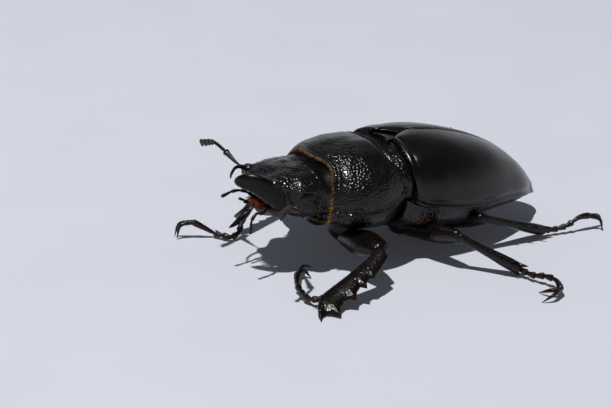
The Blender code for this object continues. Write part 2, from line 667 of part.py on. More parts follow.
def main():
    for obj in list(bpy.data.objects):
        bpy.data.objects.remove(obj)
    floor = bpy.data.objects.new("stag_beetle", None)
    floor.location = Vector((-SPAN_MIDDLE[0], -SPAN_MIDDLE[1], 0.0)) * MM
    body = bpy.data.objects.new("body_axis", None)
    body.parent = floor
    body.location = (0.0, 0.0, BODY_LIFT * MM)
    body.rotation_euler = (-BODY_PITCH, 0.0, 0.0)
    for empty in (floor, body):
        bpy.context.scene.collection.objects.link(empty)

    pronotum, prosternum, metathorax, abdomen = make_body(body)
    make_scutellum(body)
    head = make_head(body)
    mouth = ellipsoid("mouth_base", (0.0, 5.2, -2.5), (2.5, 1.7, 1.0), MOUTH_SHELL, body, 12, 7)
    carve(mouth, head)
    wings = {}
    for side, hand in ((1, "l"), (-1, "r")):
        wings[hand] = make_wing_case(body, side, hand)
        eye, mandible = make_mouth(body, side, hand)
        carve(mandible, head)
        carve(mouth, mandible)
        for palp in make_palps(body, side, hand):
            carve(palp, mouth)
            carve(palp, head)
        scape = make_antenna(floor, hand)
        carve(scape, head)
        carve(scape, mandible)
        carve(head, eye)
    coxae = {}
    for pair in ("front", "middle", "hind"):
        near = {"front": (prosternum,), "middle": (metathorax,), "hind": (metathorax, abdomen)}[pair]
        for side, hand in ((1, "l"), (-1, "r")):
            coxae[pair, hand] = make_coxa(body, pair, side, hand)
            beside = (*near, wings[hand]) if pair == "hind" else near
            make_leg(floor, pair, hand, coxae[pair, hand], beside)
    for (pair, hand), coxa in coxae.items():
        if pair == "front":
            carve(prosternum, coxa)
        else:
            carve(metathorax, coxa)
        if pair == "hind":
            carve(abdomen, coxa)


main()
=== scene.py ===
"""Looks of the life-size stag beetle: shell, legs, feelers, hairs, floor, light and camera.

Sizes are millimetres until a mesh is made. Body points are (x, s, z), where s runs back from the
jaw tips and z rises from the middle of the body. Floor points are (x, y, z) with the head towards
-y and the floor at z = 0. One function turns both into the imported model's frame, in metres.
"""

import bpy
import numpy as np
from mathutils import Matrix


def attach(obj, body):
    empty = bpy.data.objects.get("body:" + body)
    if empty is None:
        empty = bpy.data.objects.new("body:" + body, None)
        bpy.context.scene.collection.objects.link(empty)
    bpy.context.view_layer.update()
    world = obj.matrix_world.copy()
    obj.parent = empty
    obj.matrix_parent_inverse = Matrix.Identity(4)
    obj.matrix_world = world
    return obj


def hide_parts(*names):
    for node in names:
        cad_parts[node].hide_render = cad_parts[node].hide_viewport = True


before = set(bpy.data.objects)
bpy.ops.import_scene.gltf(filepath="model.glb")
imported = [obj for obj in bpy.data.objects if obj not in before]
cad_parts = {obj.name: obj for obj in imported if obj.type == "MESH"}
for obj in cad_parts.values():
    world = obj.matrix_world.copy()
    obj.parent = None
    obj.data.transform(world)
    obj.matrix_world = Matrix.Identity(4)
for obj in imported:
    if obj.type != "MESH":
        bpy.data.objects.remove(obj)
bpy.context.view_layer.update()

MM = 0.001
CREASE = np.radians(50)

# The stance: half the body's length, its pitch, its lift, and the middle of the span over the legs
HALF_LENGTH = 21.0
BODY_PITCH = np.radians(8.19)
BODY_LIFT = 7.01
SPAN_MIDDLE = np.array([0.044, 1.879, 0.0])

# Where each plate begins and ends along the body
HEAD_FRONT, HEAD_REAR = 2.9, 10.3
PRONOTUM_FRONT, PRONOTUM_REAR = 9.35, 18.45
PRONOTUM_REAR_MIDDLE = 16.65
NECK_FRONT, NECK_REAR = 16.3, 19.4
WING_CASE_FRONT, WING_CASE_REAR = 18.75, 41.5
WING_ROUND_FROM = 35
BELLY_SEAMS = np.array([29.6, 32.0, 34.4, 36.8, 39.0])

WIDEST = 8.25
DOME_POWER = 2.25
SEAM = 0.06
SHELL_EDGE = 0.3
TIP_RADIUS = 0.012
NEARLY_UP = (0.05, 0.02, 1.0)

# A hair is a few rings of few sides, and its patch on the map is this share of the map's width
HAIR_RINGS, HAIR_SIDES = 5, 3
HAIR_PATCH = 0.003
HAIR_SAG = np.array([0, 0, -0.22])

CAMERA_AZIMUTH, CAMERA_ELEVATION, CAMERA_ROLL = np.radians([57.51, 21.46, 1.67])
CAMERA_AIM = np.array([-2.35, -9.85, 5.0])
CAMERA_DISTANCE = 199.64
CAMERA_FIELD = np.radians(19.51)
CAMERA_SENSOR = 36.0

rng = np.random.default_rng(7)


# Shapes: numbers to meshes


def smooth(stations, values, at):
    """Cubic Hermite curve through the values at their stations, with slopes from the neighbours."""
    x = np.asarray(stations, float)
    y = np.asarray(values, float)
    at = np.asarray(at, float)
    slope = np.gradient(y, x)
    i = np.clip(np.searchsorted(x, at, side="right") - 1, 0, len(x) - 2)
    step = x[i + 1] - x[i]
    t = np.clip((at - x[i]) / step, 0.0, 1.0)
    start = (1 + 2 * t) * (1 - t) ** 2 * y[i] + t * (1 - t) ** 2 * step * slope[i]
    end = t * t * (3 - 2 * t) * y[i + 1] - t * t * (1 - t) * step * slope[i + 1]
    return start + end


def profile(*knots):
    """The function of s that runs smoothly through (s, value) knots."""
    stations, values = zip(*knots)
    return lambda s: smooth(stations, values, s)


def hump(at, middle, width):
    """Bell curve of height 1 about its middle."""
    return np.exp(-((np.asarray(at) - middle) / width) ** 2)


def unit(vectors):
    """The vectors at length 1."""
    vectors = np.asarray(vectors, float)
    return vectors / np.linalg.norm(vectors, axis=-1, keepdims=True)


def columns(*parts):
    """The parts as coordinates of points, each spread to the shape of the largest."""
    return np.stack(np.broadcast_arrays(*parts), -1)


def on_floor(points):
    """Floor points of body points: turned by the body's pitch and lifted."""
    points = np.asarray(points, float)
    x, y, z = points[..., 0], points[..., 1] - HALF_LENGTH, points[..., 2]
    cos, sin = np.cos(BODY_PITCH), np.sin(BODY_PITCH)
    return columns(x, y * cos + z * sin, z * cos - y * sin + BODY_LIFT)


def in_frame(points, is_body):
    """Frame points in metres of body or floor points, none of them below the floor."""
    points = on_floor(points) if is_body else points
    return (np.maximum(points, (-np.inf, -np.inf, 0)) - SPAN_MIDDLE) * MM


def lofted(rings):
    """Points and faces of a closed skin: a grid joined round and along, its ends closed on their middles.

    Quads and caps are turned round where the skin's signed volume says that they point inwards.
    """
    rings = np.asarray(rings, float)
    rows, around = rings.shape[:2]
    index = np.arange(rows * around).reshape(rows, around)
    after = np.roll(index, -1, axis=1)
    quads = np.stack([index[:-1], after[:-1], after[1:], index[1:]], -1).reshape(-1, 4)
    first, last = rows * around, rows * around + 1
    caps = np.concatenate([
        np.stack([np.full(around, first), after[0], index[0]], -1),
        np.stack([np.full(around, last), index[-1], after[-1]], -1)])
    points = np.concatenate([rings.reshape(-1, 3), [rings[0].mean(0)], [rings[-1].mean(0)]])
    corners = points[np.concatenate([quads[:, :3], quads[:, [0, 2, 3]], caps])]
    if np.linalg.det(corners - points.mean(0)).sum() < 0:
        quads, caps = quads[:, ::-1], caps[:, ::-1]
    return points, quads, caps


def gathered(shells):
    """One set of points and faces from several, with their numbers moved on."""
    points, quads, caps, start = [], [], [], 0
    for shell_points, shell_quads, shell_caps in shells:
        points.append(shell_points)
        quads.append(shell_quads + start)
        caps.append(shell_caps + start)
        start += len(shell_points)
    return np.concatenate(points), np.concatenate(quads), np.concatenate(caps)


def added(name, mesh, finish):
    """A smooth object of the mesh in its finish, riding on the frame."""
    mesh.shade_smooth()
    mesh.materials.append(finish)
    obj = bpy.data.objects.new(name, mesh)
    bpy.context.scene.collection.objects.link(obj)
    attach(obj, "root")
    return obj


def piece(name, shells, finish, nodes=(), coarse=None, is_body=True):
    """An object of closed skins, with sharp creases, that stands for CAD nodes.

    Where the depth of its pits is given, as a number or as a function of the points before they are
    turned, every point carries it as the mark "coarse".
    """
    points, quads, caps = gathered(shells)
    mesh = bpy.data.meshes.new(name)
    mesh.from_pydata(in_frame(points, is_body).tolist(), [], quads.tolist() + caps.tolist())
    if coarse is not None:
        depth = np.broadcast_to(coarse(points) if callable(coarse) else coarse, len(points))
        mark = mesh.attributes.new("coarse", "FLOAT", "POINT")
        mark.data.foreach_set("value", depth.astype(np.float32))
    obj = added(name, mesh, finish)
    mesh.set_sharp_from_angle(angle=CREASE)
    if nodes:
        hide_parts(*nodes)


def bent(turn, power=DOME_POWER):
    """Sine-like and cosine-like values that trace a superellipse of the power."""
    across, up = np.sin(turn), np.cos(turn)
    return np.sign(across) * np.abs(across) ** (2 / power), np.sign(up) * np.abs(up) ** (2 / power)


def turns(count):
    """Angles of a full turn."""
    return np.linspace(0, 2 * np.pi, count, endpoint=False)


def tube(path, across, along, facing, sides=20, bulge=2.0):
    """Rings of a bent superelliptic tube: half-width across the path and half-thickness towards facing."""
    path = np.asarray(path, float)
    across = np.broadcast_to(across, len(path))[:, None, None]
    along = np.broadcast_to(along, len(path))[:, None, None]
    tangent = unit(np.gradient(path, axis=0))
    side = unit(np.cross(tangent, facing))
    up = np.cross(side, tangent)
    thick, wide = bent(turns(sides)[:, None], bulge)
    return path[:, None] + across * wide * side[:, None] + along * thick * up[:, None]


def curve(knots, count):
    """Evenly spread points on a smooth curve through the knots."""
    knots = np.asarray(knots, float)
    run = np.concatenate([[0], np.cumsum(np.linalg.norm(np.diff(knots, axis=0), axis=1))])
    share = np.linspace(0, 1, count)
    return columns(*(smooth(run, knots[:, axis], share * run[-1]) for axis in range(3)))


def horn(path, radius, power, tip, flat, facing, sides):
    """The skin of a solid horn along a path. Its half-width is radius * (1 - share ^ power) + tip."""
    width = radius * (1 - np.linspace(0, 1, len(path)) ** power) + tip
    return lofted(tube(path, width, width * flat, facing, sides))


def spike(root, tip, radius, bend=(0, 0, 0), sides=12, flat=1.0, facing=(0.03, 0.05, 1.0)):
    """A sharp horn from a sunk root to its tip, bent sideways most at its middle."""
    t = np.linspace(0, 1, 9)[:, None]
    path = np.asarray(root) * (1 - t) + np.asarray(tip) * t + np.asarray(bend) * 4 * t * (1 - t)
    return horn(path, radius, 1.6, TIP_RADIUS, flat, facing, sides)


# Finishes


def linear(hex_colour):
    """Linear RGBA of an sRGB hex colour."""
    srgb = np.array([int(hex_colour[i:i + 2], 16) for i in (0, 2, 4)]) / 255
    channel = np.where(srgb <= 0.04045, srgb / 12.92, ((srgb + 0.055) / 1.055) ** 2.4)
    return (*channel, 1.0)


def pattern_scale(size):
    """The scale that draws a pattern's features at a size in millimetres on coordinates in metres."""
    return 1000 / size


def node(tree, kind, settings=None, links=None):
    """Adds a node. A setting or link is keyed by an input's name or number, or by a property's name."""
    made = tree.nodes.new("ShaderNode" + kind)
    for key, value in (settings or {}).items():
        if isinstance(key, int) or key in made.inputs:
            made.inputs[key].default_value = value
        else:
            setattr(made, key, value)
    for key, source in (links or {}).items():
        tree.links.new(source, made.inputs[key])
    return made


def shaded(name, roughness, ior):
    """A new material, its node tree and its shader."""
    material = bpy.data.materials.new(name)
    material.use_nodes = True
    shader = material.node_tree.nodes["Principled BSDF"]
    shader.inputs["Roughness"].default_value = roughness
    shader.inputs["IOR"].default_value = ior
    return material, material.node_tree, shader


def chitin(name, dark, light, gleam, roughness, pits, grain, coat, marked=False):
    """Chitin, tanned hard and black, under a thin film of wax: dark blotches, uneven gloss, pits and grain.

    Pits are the cells of a pattern, each a shallow cup with a sharp rim, so that a lamp glints at
    many of them. Their depth follows the mark "coarse" where the material is marked. Pits and grain
    are (size, depth). Gleam is the specular level, and coat the weight of the wax.
    """
    blotch_size, wear_size = 5, 1.4
    material, tree, shader = shaded(name, roughness, 1.5)
    shader.inputs["Specular IOR Level"].default_value = gleam
    shader.inputs["Coat Weight"].default_value = coat
    shader.inputs["Coat Roughness"].default_value = 0.12
    place = node(tree, "TexCoord").outputs["Object"]
    blotch = node(tree, "TexNoise", {"Scale": pattern_scale(blotch_size), "Detail": 4.0}, {"Vector": place})
    spread = node(tree, "MapRange", {"From Min": 0.35, "From Max": 0.68}, {"Value": blotch.outputs["Fac"]})
    colour = node(tree, "Mix", {"data_type": "RGBA", 6: linear(dark), 7: linear(light)},
                  {0: spread.outputs["Result"]})
    tree.links.new(colour.outputs[2], shader.inputs["Base Color"])
    wear = node(tree, "TexNoise", {"Scale": pattern_scale(wear_size), "Detail": 5.0}, {"Vector": place})
    gloss = node(tree, "MapRange", {"From Min": 0.3, "From Max": 0.7, "To Min": roughness * 0.82,
                                    "To Max": roughness * 1.3}, {"Value": wear.outputs["Fac"]})
    tree.links.new(gloss.outputs["Result"], shader.inputs["Roughness"])
    cells = node(tree, "TexVoronoi", {"Scale": pattern_scale(pits[0]), "Randomness": 0.9},
                 {"Vector": place})
    from_middle = node(tree, "MapRange", {"From Min": 0.0, "From Max": 0.65},
                       {"Value": cells.outputs["Distance"]})
    cup = node(tree, "Math", {"operation": "POWER", 1: 2.0}, {0: from_middle.outputs["Result"]})
    height = cup.outputs["Value"]
    if marked:
        depth = node(tree, "Attribute", {"attribute_name": "coarse"}).outputs["Fac"]
        height = node(tree, "Math", {"operation": "MULTIPLY"}, {0: height, 1: depth}).outputs["Value"]
    cups = node(tree, "Bump", {"Distance": pits[1] * MM}, {"Height": height})
    fine = node(tree, "TexNoise", {"Scale": pattern_scale(grain[0]), "Detail": 3.0}, {"Vector": place})
    relief = node(tree, "Bump", {"Distance": grain[1] * MM},
                  {"Height": fine.outputs["Fac"], "Normal": cups.outputs["Normal"]})
    tree.links.new(relief.outputs["Normal"], shader.inputs["Normal"])
    tree.links.new(relief.outputs["Normal"], shader.inputs["Coat Normal"])
    return material


def velvet(name, dark, light, roughness, nap):
    """Chitin under a nap of hairs too short to see one by one: matt, with a soft light edge.

    The nap is (size, depth).
    """
    material, tree, shader = shaded(name, roughness, 1.5)
    shader.inputs["Sheen Weight"].default_value = 0.1
    shader.inputs["Sheen Roughness"].default_value = 0.4
    place = node(tree, "TexCoord").outputs["Object"]
    pile = node(tree, "TexNoise", {"Scale": pattern_scale(nap[0]), "Detail": 4.0}, {"Vector": place})
    colour = node(tree, "Mix", {"data_type": "RGBA", 6: linear(dark), 7: linear(light)},
                  {0: pile.outputs["Fac"]})
    tree.links.new(colour.outputs[2], shader.inputs["Base Color"])
    relief = node(tree, "Bump", {"Distance": nap[1] * MM}, {"Height": pile.outputs["Fac"]})
    tree.links.new(relief.outputs["Normal"], shader.inputs["Normal"])
    return material


def setae(name, dark, light):
    """Setae, hairs of chitin that never blackened: their colour shifts from tuft to tuft."""
    tuft_size = 0.4
    material, tree, shader = shaded(name, 0.45, 1.55)
    place = node(tree, "TexCoord").outputs["Object"]
    tone = node(tree, "TexNoise", {"Scale": pattern_scale(tuft_size), "Detail": 2.0}, {"Vector": place})
    spread = node(tree, "MapRange", {"From Min": 0.35, "From Max": 0.65}, {"Value": tone.outputs["Fac"]})
    colour = node(tree, "Mix", {"data_type": "RGBA", 6: linear(dark), 7: linear(light)},
                  {0: spread.outputs["Result"]})
    tree.links.new(colour.outputs[2], shader.inputs["Base Color"])
    return material


# Surfaces of the body. In a relief, the number before a hump is its height, and those inside it are
# its middle and its width along what it is measured on. A pitting's number is the pits' spacing.


def spaced(count, first, last, weight):
    """Values from first to last, closer together where the weight is high."""
    fine = np.linspace(first, last, 4001)
    run = np.cumsum(weight(fine))
    return np.interp(np.linspace(run[0], run[-1], count), run, fine)


def pushed(grid, amount):
    """The grid with each point moved along the outward normal that its neighbours give."""
    along = np.gradient(grid, axis=0)
    wrapped = np.concatenate([grid[:, -1:], grid, grid[:, :1]], 1)
    normal = np.cross(wrapped[:, 2:] - wrapped[:, :-2], along)
    normal /= np.maximum(np.linalg.norm(normal, axis=-1, keepdims=True), 1e-9)
    facing = np.sign(np.sum(normal * (grid - grid.mean(1, keepdims=True))))
    return grid + amount[..., None] * normal * facing


def pitting(points, spacing):
    """Depth of a pitted surface, 1 in the middle of a pit and 0 between pits.

    Each cell of the spacing holds one pit, at a place that the cell's number is shuffled into, and
    the depth falls off smoothly with the distance to the nearest.
    """
    mixing = np.array([[127.1, 269.5, 113.5], [311.7, 183.3, 271.9], [74.7, 246.1, 124.6]])
    shuffle = 43758.5453
    at = points / spacing
    nearest = np.full(points.shape[:-1], 9.0)
    for step in np.ndindex(3, 3, 3):
        cell = np.floor(at) + np.array(step) - 1
        shuffled = np.sin(cell @ mixing) * shuffle
        centre = cell + 0.5 + 0.75 * (shuffled - np.floor(shuffled) - 0.5)
        nearest = np.minimum(nearest, np.linalg.norm(at - centre, axis=-1))
    fall = np.clip(1 - nearest / 0.5, 0, 1)
    return fall * fall * (3 - 2 * fall)


def rounded_ends(grid, radius, recess=0.4):
    """The grid with its end edges rounded to the radius and a recessed row closing each end."""
    middle = grid.mean(1, keepdims=True)
    size = np.linalg.norm(grid - middle, axis=-1, keepdims=True).max(1, keepdims=True)
    along = np.cumsum(np.linalg.norm(np.diff(middle, axis=0), axis=-1), 0)
    run = np.concatenate([np.zeros((1, 1)), along])[..., None]
    from_end = np.clip(np.minimum(run, run[-1] - run), 0, radius)
    inset = radius - np.sqrt(np.maximum(radius ** 2 - (radius - from_end) ** 2, 0))
    grid = middle + (grid - middle) * (1 - inset / size)
    middle = grid.mean(1, keepdims=True)
    ends = []
    for end, beside in ((0, 1), (-1, -2)):
        inward = unit(middle[beside] - middle[end])
        ends.append(middle[end] + (grid[end] - middle[end]) * 0.8 + inward * recess)
    return np.concatenate([ends[0][None], grid, ends[1][None]])


def ellipsoid(centre, radii, around, along, pole=0.05):
    """Grid of an ellipsoid whose rows run along x, from one pole to the other: cos v along, sin v round."""
    t, v = np.meshgrid(turns(around), np.linspace(pole, np.pi - pole, along))
    (x, s, z), (a, b, c) = centre, radii
    return columns(x + a * np.cos(v), s + b * np.sin(v) * np.cos(t), z + c * np.sin(v) * np.sin(t))


def dome(share, turn, front, rear, half_width, margin, crown, lip=SHELL_EDGE):
    """Grid of a domed shell: superelliptic arcs from margin to margin over a thin rounded lip.

    Each point's s lies between the front and rear edges at the point's own place across.
    """
    u, t = np.meshgrid(share, turn, indexing="ij")
    spread, rise = bent(t)
    s = front(np.sin(t)) + (rear(np.sin(t)) - front(np.sin(t))) * u
    low, high = margin(s), crown(s)
    z = low + np.where(rise > 0, (high - low) * rise, lip * rise)
    return columns(half_width(s) * spread, s, z)


def keel(stations, turn, half_width, top, power):
    """Grid of an underside: a nearly flat top, and a superelliptic keel from it down to the belly line."""
    s, t = np.meshgrid(stations, turn, indexing="ij")
    spread, drop = bent(t, power)
    high = top(s)
    z = high - np.where(drop > 0, (high - belly(s)) * drop, 0.3 * drop)
    return columns(half_width(s) * spread, s, z)


def at_margins(turn):
    """More points where a dome meets its margins."""
    return 1 + 7 * hump(np.abs(np.sin(turn)), 1.0, 0.03)


def at_ends(share):
    """More points near both ends."""
    return 1 + 5 * hump(share, 0, 0.05) + 5 * hump(share, 1, 0.05)


pronotum_half_width = profile((9.25, 5.4), (11, 7.2), (13, 7.9), (15, 7.95), (17, 7.4), (18.45, 6.7))
pronotum_margin = profile((9.25, -1.7), (11, -1.45), (13, -1.2), (15, -0.85), (17, 0.0), (18.45, 1.0))
pronotum_crown = profile((9.25, 3.25), (11, 4.1), (13, 4.75), (15, 5.05), (17, 5.0), (18.45, 4.5))
wing_side = profile((18.75, 7.45), (19.4, 7.7), (20.2, 7.9), (22, 8.2), (25, WIDEST), (28, 7.9), (31, 7.15),
                    (34, 6.05), (37, 4.8), (39.5, 3.5))
wing_margin = profile((18.75, -0.1), (20.2, -0.5), (22, -0.55), (24.5, -0.7), (28, -0.75), (33, -0.65),
                      (38, -1.0), (41.9, -1.7))
wing_crown = profile((18.75, 5.6), (19.4, 5.75), (20.7, 5.95), (24, 6.15), (28, 5.8), (32, 5.0), (36, 3.35),
                     (39, 1.3), (41, -0.6), (41.9, -1.5))
belly = profile((9.25, -3.3), (12, -4.1), (15, -4.5), (18.45, -4.6), (22, -4.7), (26, -4.7), (30, -4.1),
                (34, -3.4), (38, -2.8), (41.2, -2.6))
head_half_width = profile((2.9, 2.7), (3.3, 3.2), (4.2, 3.5), (5.2, 3.95), (6.2, 4.75), (7.2, 5.15),
                          (8.2, 5.2), (9.1, 5.3), (10.3, 5.9))
head_top = profile((2.9, 0.97), (3.5, 1.33), (4.5, 1.72), (5.5, 1.95), (7, 2.25), (8.95, 2.5), (10.3, 2.9))
head_bottom = profile((2.9, -0.1), (3.9, -1.0), (4.5, -1.9), (5.5, -2.7), (7, -3.1), (8.95, -3.0),
                      (10.3, -2.9))


def wing_half_width(s):
    """Half the width over both wing cases: their side line, rounded off towards the rear."""
    reach = np.clip((s - WING_ROUND_FROM) / (WING_CASE_REAR - WING_ROUND_FROM), 0, 1)
    return wing_side(s) * np.sqrt(1 - reach ** 2.8)


def pronotum_front(side):
    """The front edge at a share of the half-width: it runs back between its middle and its corners."""
    return PRONOTUM_FRONT + 0.15 + 0.55 * np.sin(np.pi * np.abs(side)) ** 2


def pronotum_rear(side):
    """The rear edge at a share of the half-width: its corners reach back."""
    return PRONOTUM_REAR_MIDDLE + 1.75 * np.abs(side) ** 4


def pronotum_grain(points):
    """How coarse the pits are: most at the front edge and the sides, least on the middle of the disc."""
    x, s = points[..., 0], points[..., 1]
    front = np.clip((15.2 - s) / 2.6, 0, 1) * np.clip(np.abs(x) / 2.2, 0.35, 1)
    flank = np.clip((np.abs(x) / pronotum_half_width(s) - 0.5) / 0.3, 0, 1)
    return np.clip(0.2 + front + 0.55 * flank, 0, 1)


def make_pronotum(finish):
    """The shield behind the head: a dome with a beaded border, two side hollows and pits."""
    grid = dome(spaced(200, 0, 1, at_ends), spaced(361, 0, 2 * np.pi, at_margins)[:-1], pronotum_front,
                pronotum_rear, pronotum_half_width, pronotum_margin, pronotum_crown)
    x, s, z = np.moveaxis(grid, -1, 0)
    height = z - pronotum_margin(s)
    upper = np.clip(height / 0.3, 0, 1)
    from_front = s - s[:1]
    from_rear = s[-1:] - s
    relief = 0.1 * hump(height, 0, 0.17) - 0.09 * hump(height, 0.5, 0.22)
    for from_edge in (from_front, from_rear):
        relief += upper * (0.07 * hump(from_edge, 0.12, 0.13) - 0.08 * hump(from_edge, 0.42, 0.16))
    hollows = 0.16 * hump(np.abs(x), 5.4, 0.9) * hump(s, 14.4, 1.2)
    hollows += 0.06 * hump(x, 0, 0.6) * hump(s, 14, 2.6)
    waves = 0.05 * np.sin(1.3 * x + 0.8 * s) * np.sin(1.7 * s)
    relief += upper * (waves - hollows)
    coarse = pronotum_grain(grid) * upper * np.clip(np.minimum(from_front, from_rear) / 0.4, 0, 1)
    grid = pushed(grid, relief - 0.02 * coarse * pitting(grid, 0.33))
    shield = [lofted(rounded_ends(grid, 0.16))]
    piece("pronotum_shield", shield, finish, ["pronotum"], pronotum_grain)


def make_wing_case(side, hand, finish):
    """One wing case: a quarter dome with a beaded side margin, a shoulder bump and a raised seam."""
    share = spaced(190, 0, 1, at_ends)[:, None]
    s = WING_CASE_FRONT + (WING_CASE_REAR - WING_CASE_FRONT) * (1 - (1 - share) ** 1.5)
    turn = spaced(120, 0, np.pi / 2, lambda t: 1 + 3 * hump(t, 0, 0.1) + 7 * hump(t, np.pi / 2, 0.2))
    spread, rise = bent(turn)
    half, low, high = np.maximum(wing_half_width(s), 0.3), wing_margin(s), wing_crown(s)
    over_x = SEAM / 2 + (half - SEAM / 2) * spread
    over_z = low + (high - low) * rise
    back = np.linspace(0, 1, 14)
    under_x = SEAM / 2 + (half * 0.985 - SEAM / 2) * (1 - back) + 0 * s
    under_z = low - SHELL_EDGE * np.sin(np.clip(back * 6, 0.25, 1) * np.pi / 2) + 0 * s
    x = np.concatenate([over_x, under_x], 1)
    z = np.concatenate([over_z, under_z], 1)
    notch = np.clip(1.85 - x, 0, None) * 1.2 * (1 - share) ** 8
    shoulder = (1 - share) ** 5 * 0.6 * np.clip(x / half, 0, 1) ** 12
    grid = np.stack([side * x, s + notch + shoulder, z], -1)
    height = z - low
    upper = np.clip(height / 0.3, 0, 1)
    relief = 0.1 * hump(height, 0.02, 0.17) - 0.09 * hump(height, 0.5, 0.24)
    shoulder_bump = 0.2 * hump(x, 5.7, 0.9) * hump(s, 20.6, 1.1)
    shoulder_bump -= 0.1 * hump(x, 4.2, 0.7) * hump(s, 20.2, 1.0)
    seam_bead = (0.045 * hump(x, 0.22, 0.16) - 0.05 * hump(x, 0.62, 0.25)) * np.clip((s - 20.8) / 2, 0, 1)
    front_bead = 0.06 * hump(s + notch, 19.0, 0.16) - 0.06 * hump(s + notch, 19.45, 0.2)
    waves = 0.02 * np.sin(0.9 * x + 0.4 * s) * np.sin(0.55 * s + 1)
    relief += upper * (shoulder_bump + seam_bead + front_bead - 0.05 * hump(x, 0, 0.06) + waves)
    grid = pushed(grid, relief - upper * 0.012 * pitting(grid, 0.5))
    grid[..., 0] = side * np.maximum(side * grid[..., 0], SEAM / 2)
    piece("wing_cover_" + hand, [lofted(rounded_ends(grid, 0.22, 0.15))], finish,
          ["wing_case_" + hand])


def make_scutellum(finish):
    """The small shield between the wing cases: a rounded triangle, a little domed."""
    u, t = np.meshgrid(np.linspace(0, 1, 40), turns(48), indexing="ij")
    half = 1.5 * np.sqrt(np.clip(1 - u ** 1.5, 0, 1)) * (1 - 0.35 * u) + 0.02
    spread, rise = bent(t, 2.8)
    z = 4.75 + (0.62 - 0.1 * u) * rise * np.where(rise > 0, 1, 3)
    grid = columns(half * spread, PRONOTUM_REAR + 2.0 * u, z)
    grid = pushed(grid, -0.02 * pitting(grid, 0.3))
    piece("scutellum_shield", [lofted(rounded_ends(grid, 0.1, 0.1))], finish, ["scutellum"], 0.6)


def make_underside(finish):
    """Neck ring, breast plates and belly rings under the shells."""
    full = spaced(181, 0, 2 * np.pi, lambda t: 1 + 2 * hump(np.abs(np.sin(t)), 1, 0.1))[:-1]

    neck_half_width = profile((NECK_FRONT, 6.2), (18, 6.5), (NECK_REAR, 6.7))
    neck_crown = profile((NECK_FRONT, 4.1), (17.5, 4.3), (18.5, 4.75), (NECK_REAR, 4.9))
    neck = dome(np.linspace(0, 1, 60), full, lambda side: NECK_FRONT, lambda side: NECK_REAR,
                neck_half_width, lambda s: pronotum_margin(PRONOTUM_REAR), neck_crown, lip=4.5)

    front = keel(np.linspace(9.75, 18.2, 90), full, lambda s: pronotum_half_width(s) - 0.28,
                 lambda s: pronotum_margin(s) - 0.25, DOME_POWER)
    x, s, z = np.moveaxis(front, -1, 0)
    between_hips = 0.35 * hump(x, 0, 0.7) * hump(s, 14.5, 2.2) * (z < -3)
    front_relief = 0.12 * hump(s, 9.9, 0.2) - 0.1 * hump(s, 10.5, 0.3) + between_hips

    rear = keel(np.linspace(18.3, 27.3, 100), full, lambda s: wing_half_width(s) - 0.35,
                lambda s: wing_margin(s) - 0.2, DOME_POWER)
    x, s, z = np.moveaxis(rear, -1, 0)
    rear_relief = -0.12 * hump(s, 20.6, 0.12) - 0.12 * hump(x, 0, 0.15) * (z < -2)

    stations = spaced(150, 27.2, 41.0,
                      lambda s: 1 + 3 * hump(np.abs(s[:, None] - BELLY_SEAMS).min(1), 0, 0.25))
    rings = keel(stations, full, lambda s: np.maximum(wing_half_width(s) - 0.55, 0.4),
                 lambda s: wing_margin(s) - 0.25, 1.7)
    since = rings[..., 1, None] - BELLY_SEAMS
    rings_relief = -0.2 * np.exp(-np.where(since < 0, 99, since).min(-1) / 0.35)

    for name, covered, grid, relief, pit_depth, pit_spacing in (
            ("neck_ring", "mesothorax", neck, 0, 0.05, 0.3),
            ("breast_front", "prosternum", front, front_relief, 0.07, 0.55),
            ("breast_rear", "metathorax", rear, rear_relief, 0.05, 0.5),
            ("belly_rings", "abdomen", rings, rings_relief, 0.03, 0.4)):
        grid = pushed(grid, relief - pit_depth * pitting(grid, pit_spacing))
        piece(name, [lofted(rounded_ends(grid, 0.3))], finish, [covered], 0.75)


# Head, jaws and feelers


EYE_MIDDLE = (4.62, 7.0, -0.1)


def head_grain(points):
    """Deep pits on the crown and cheeks, few on the collar that slides under the shield."""
    s = points[..., 1]
    collar = np.clip((9.1 - s) / 0.5, 0, 1)
    return np.clip(0.1 + 0.9 * collar, 0, 1) * np.clip((s - HEAD_FRONT) / 0.3, 0.3, 1)


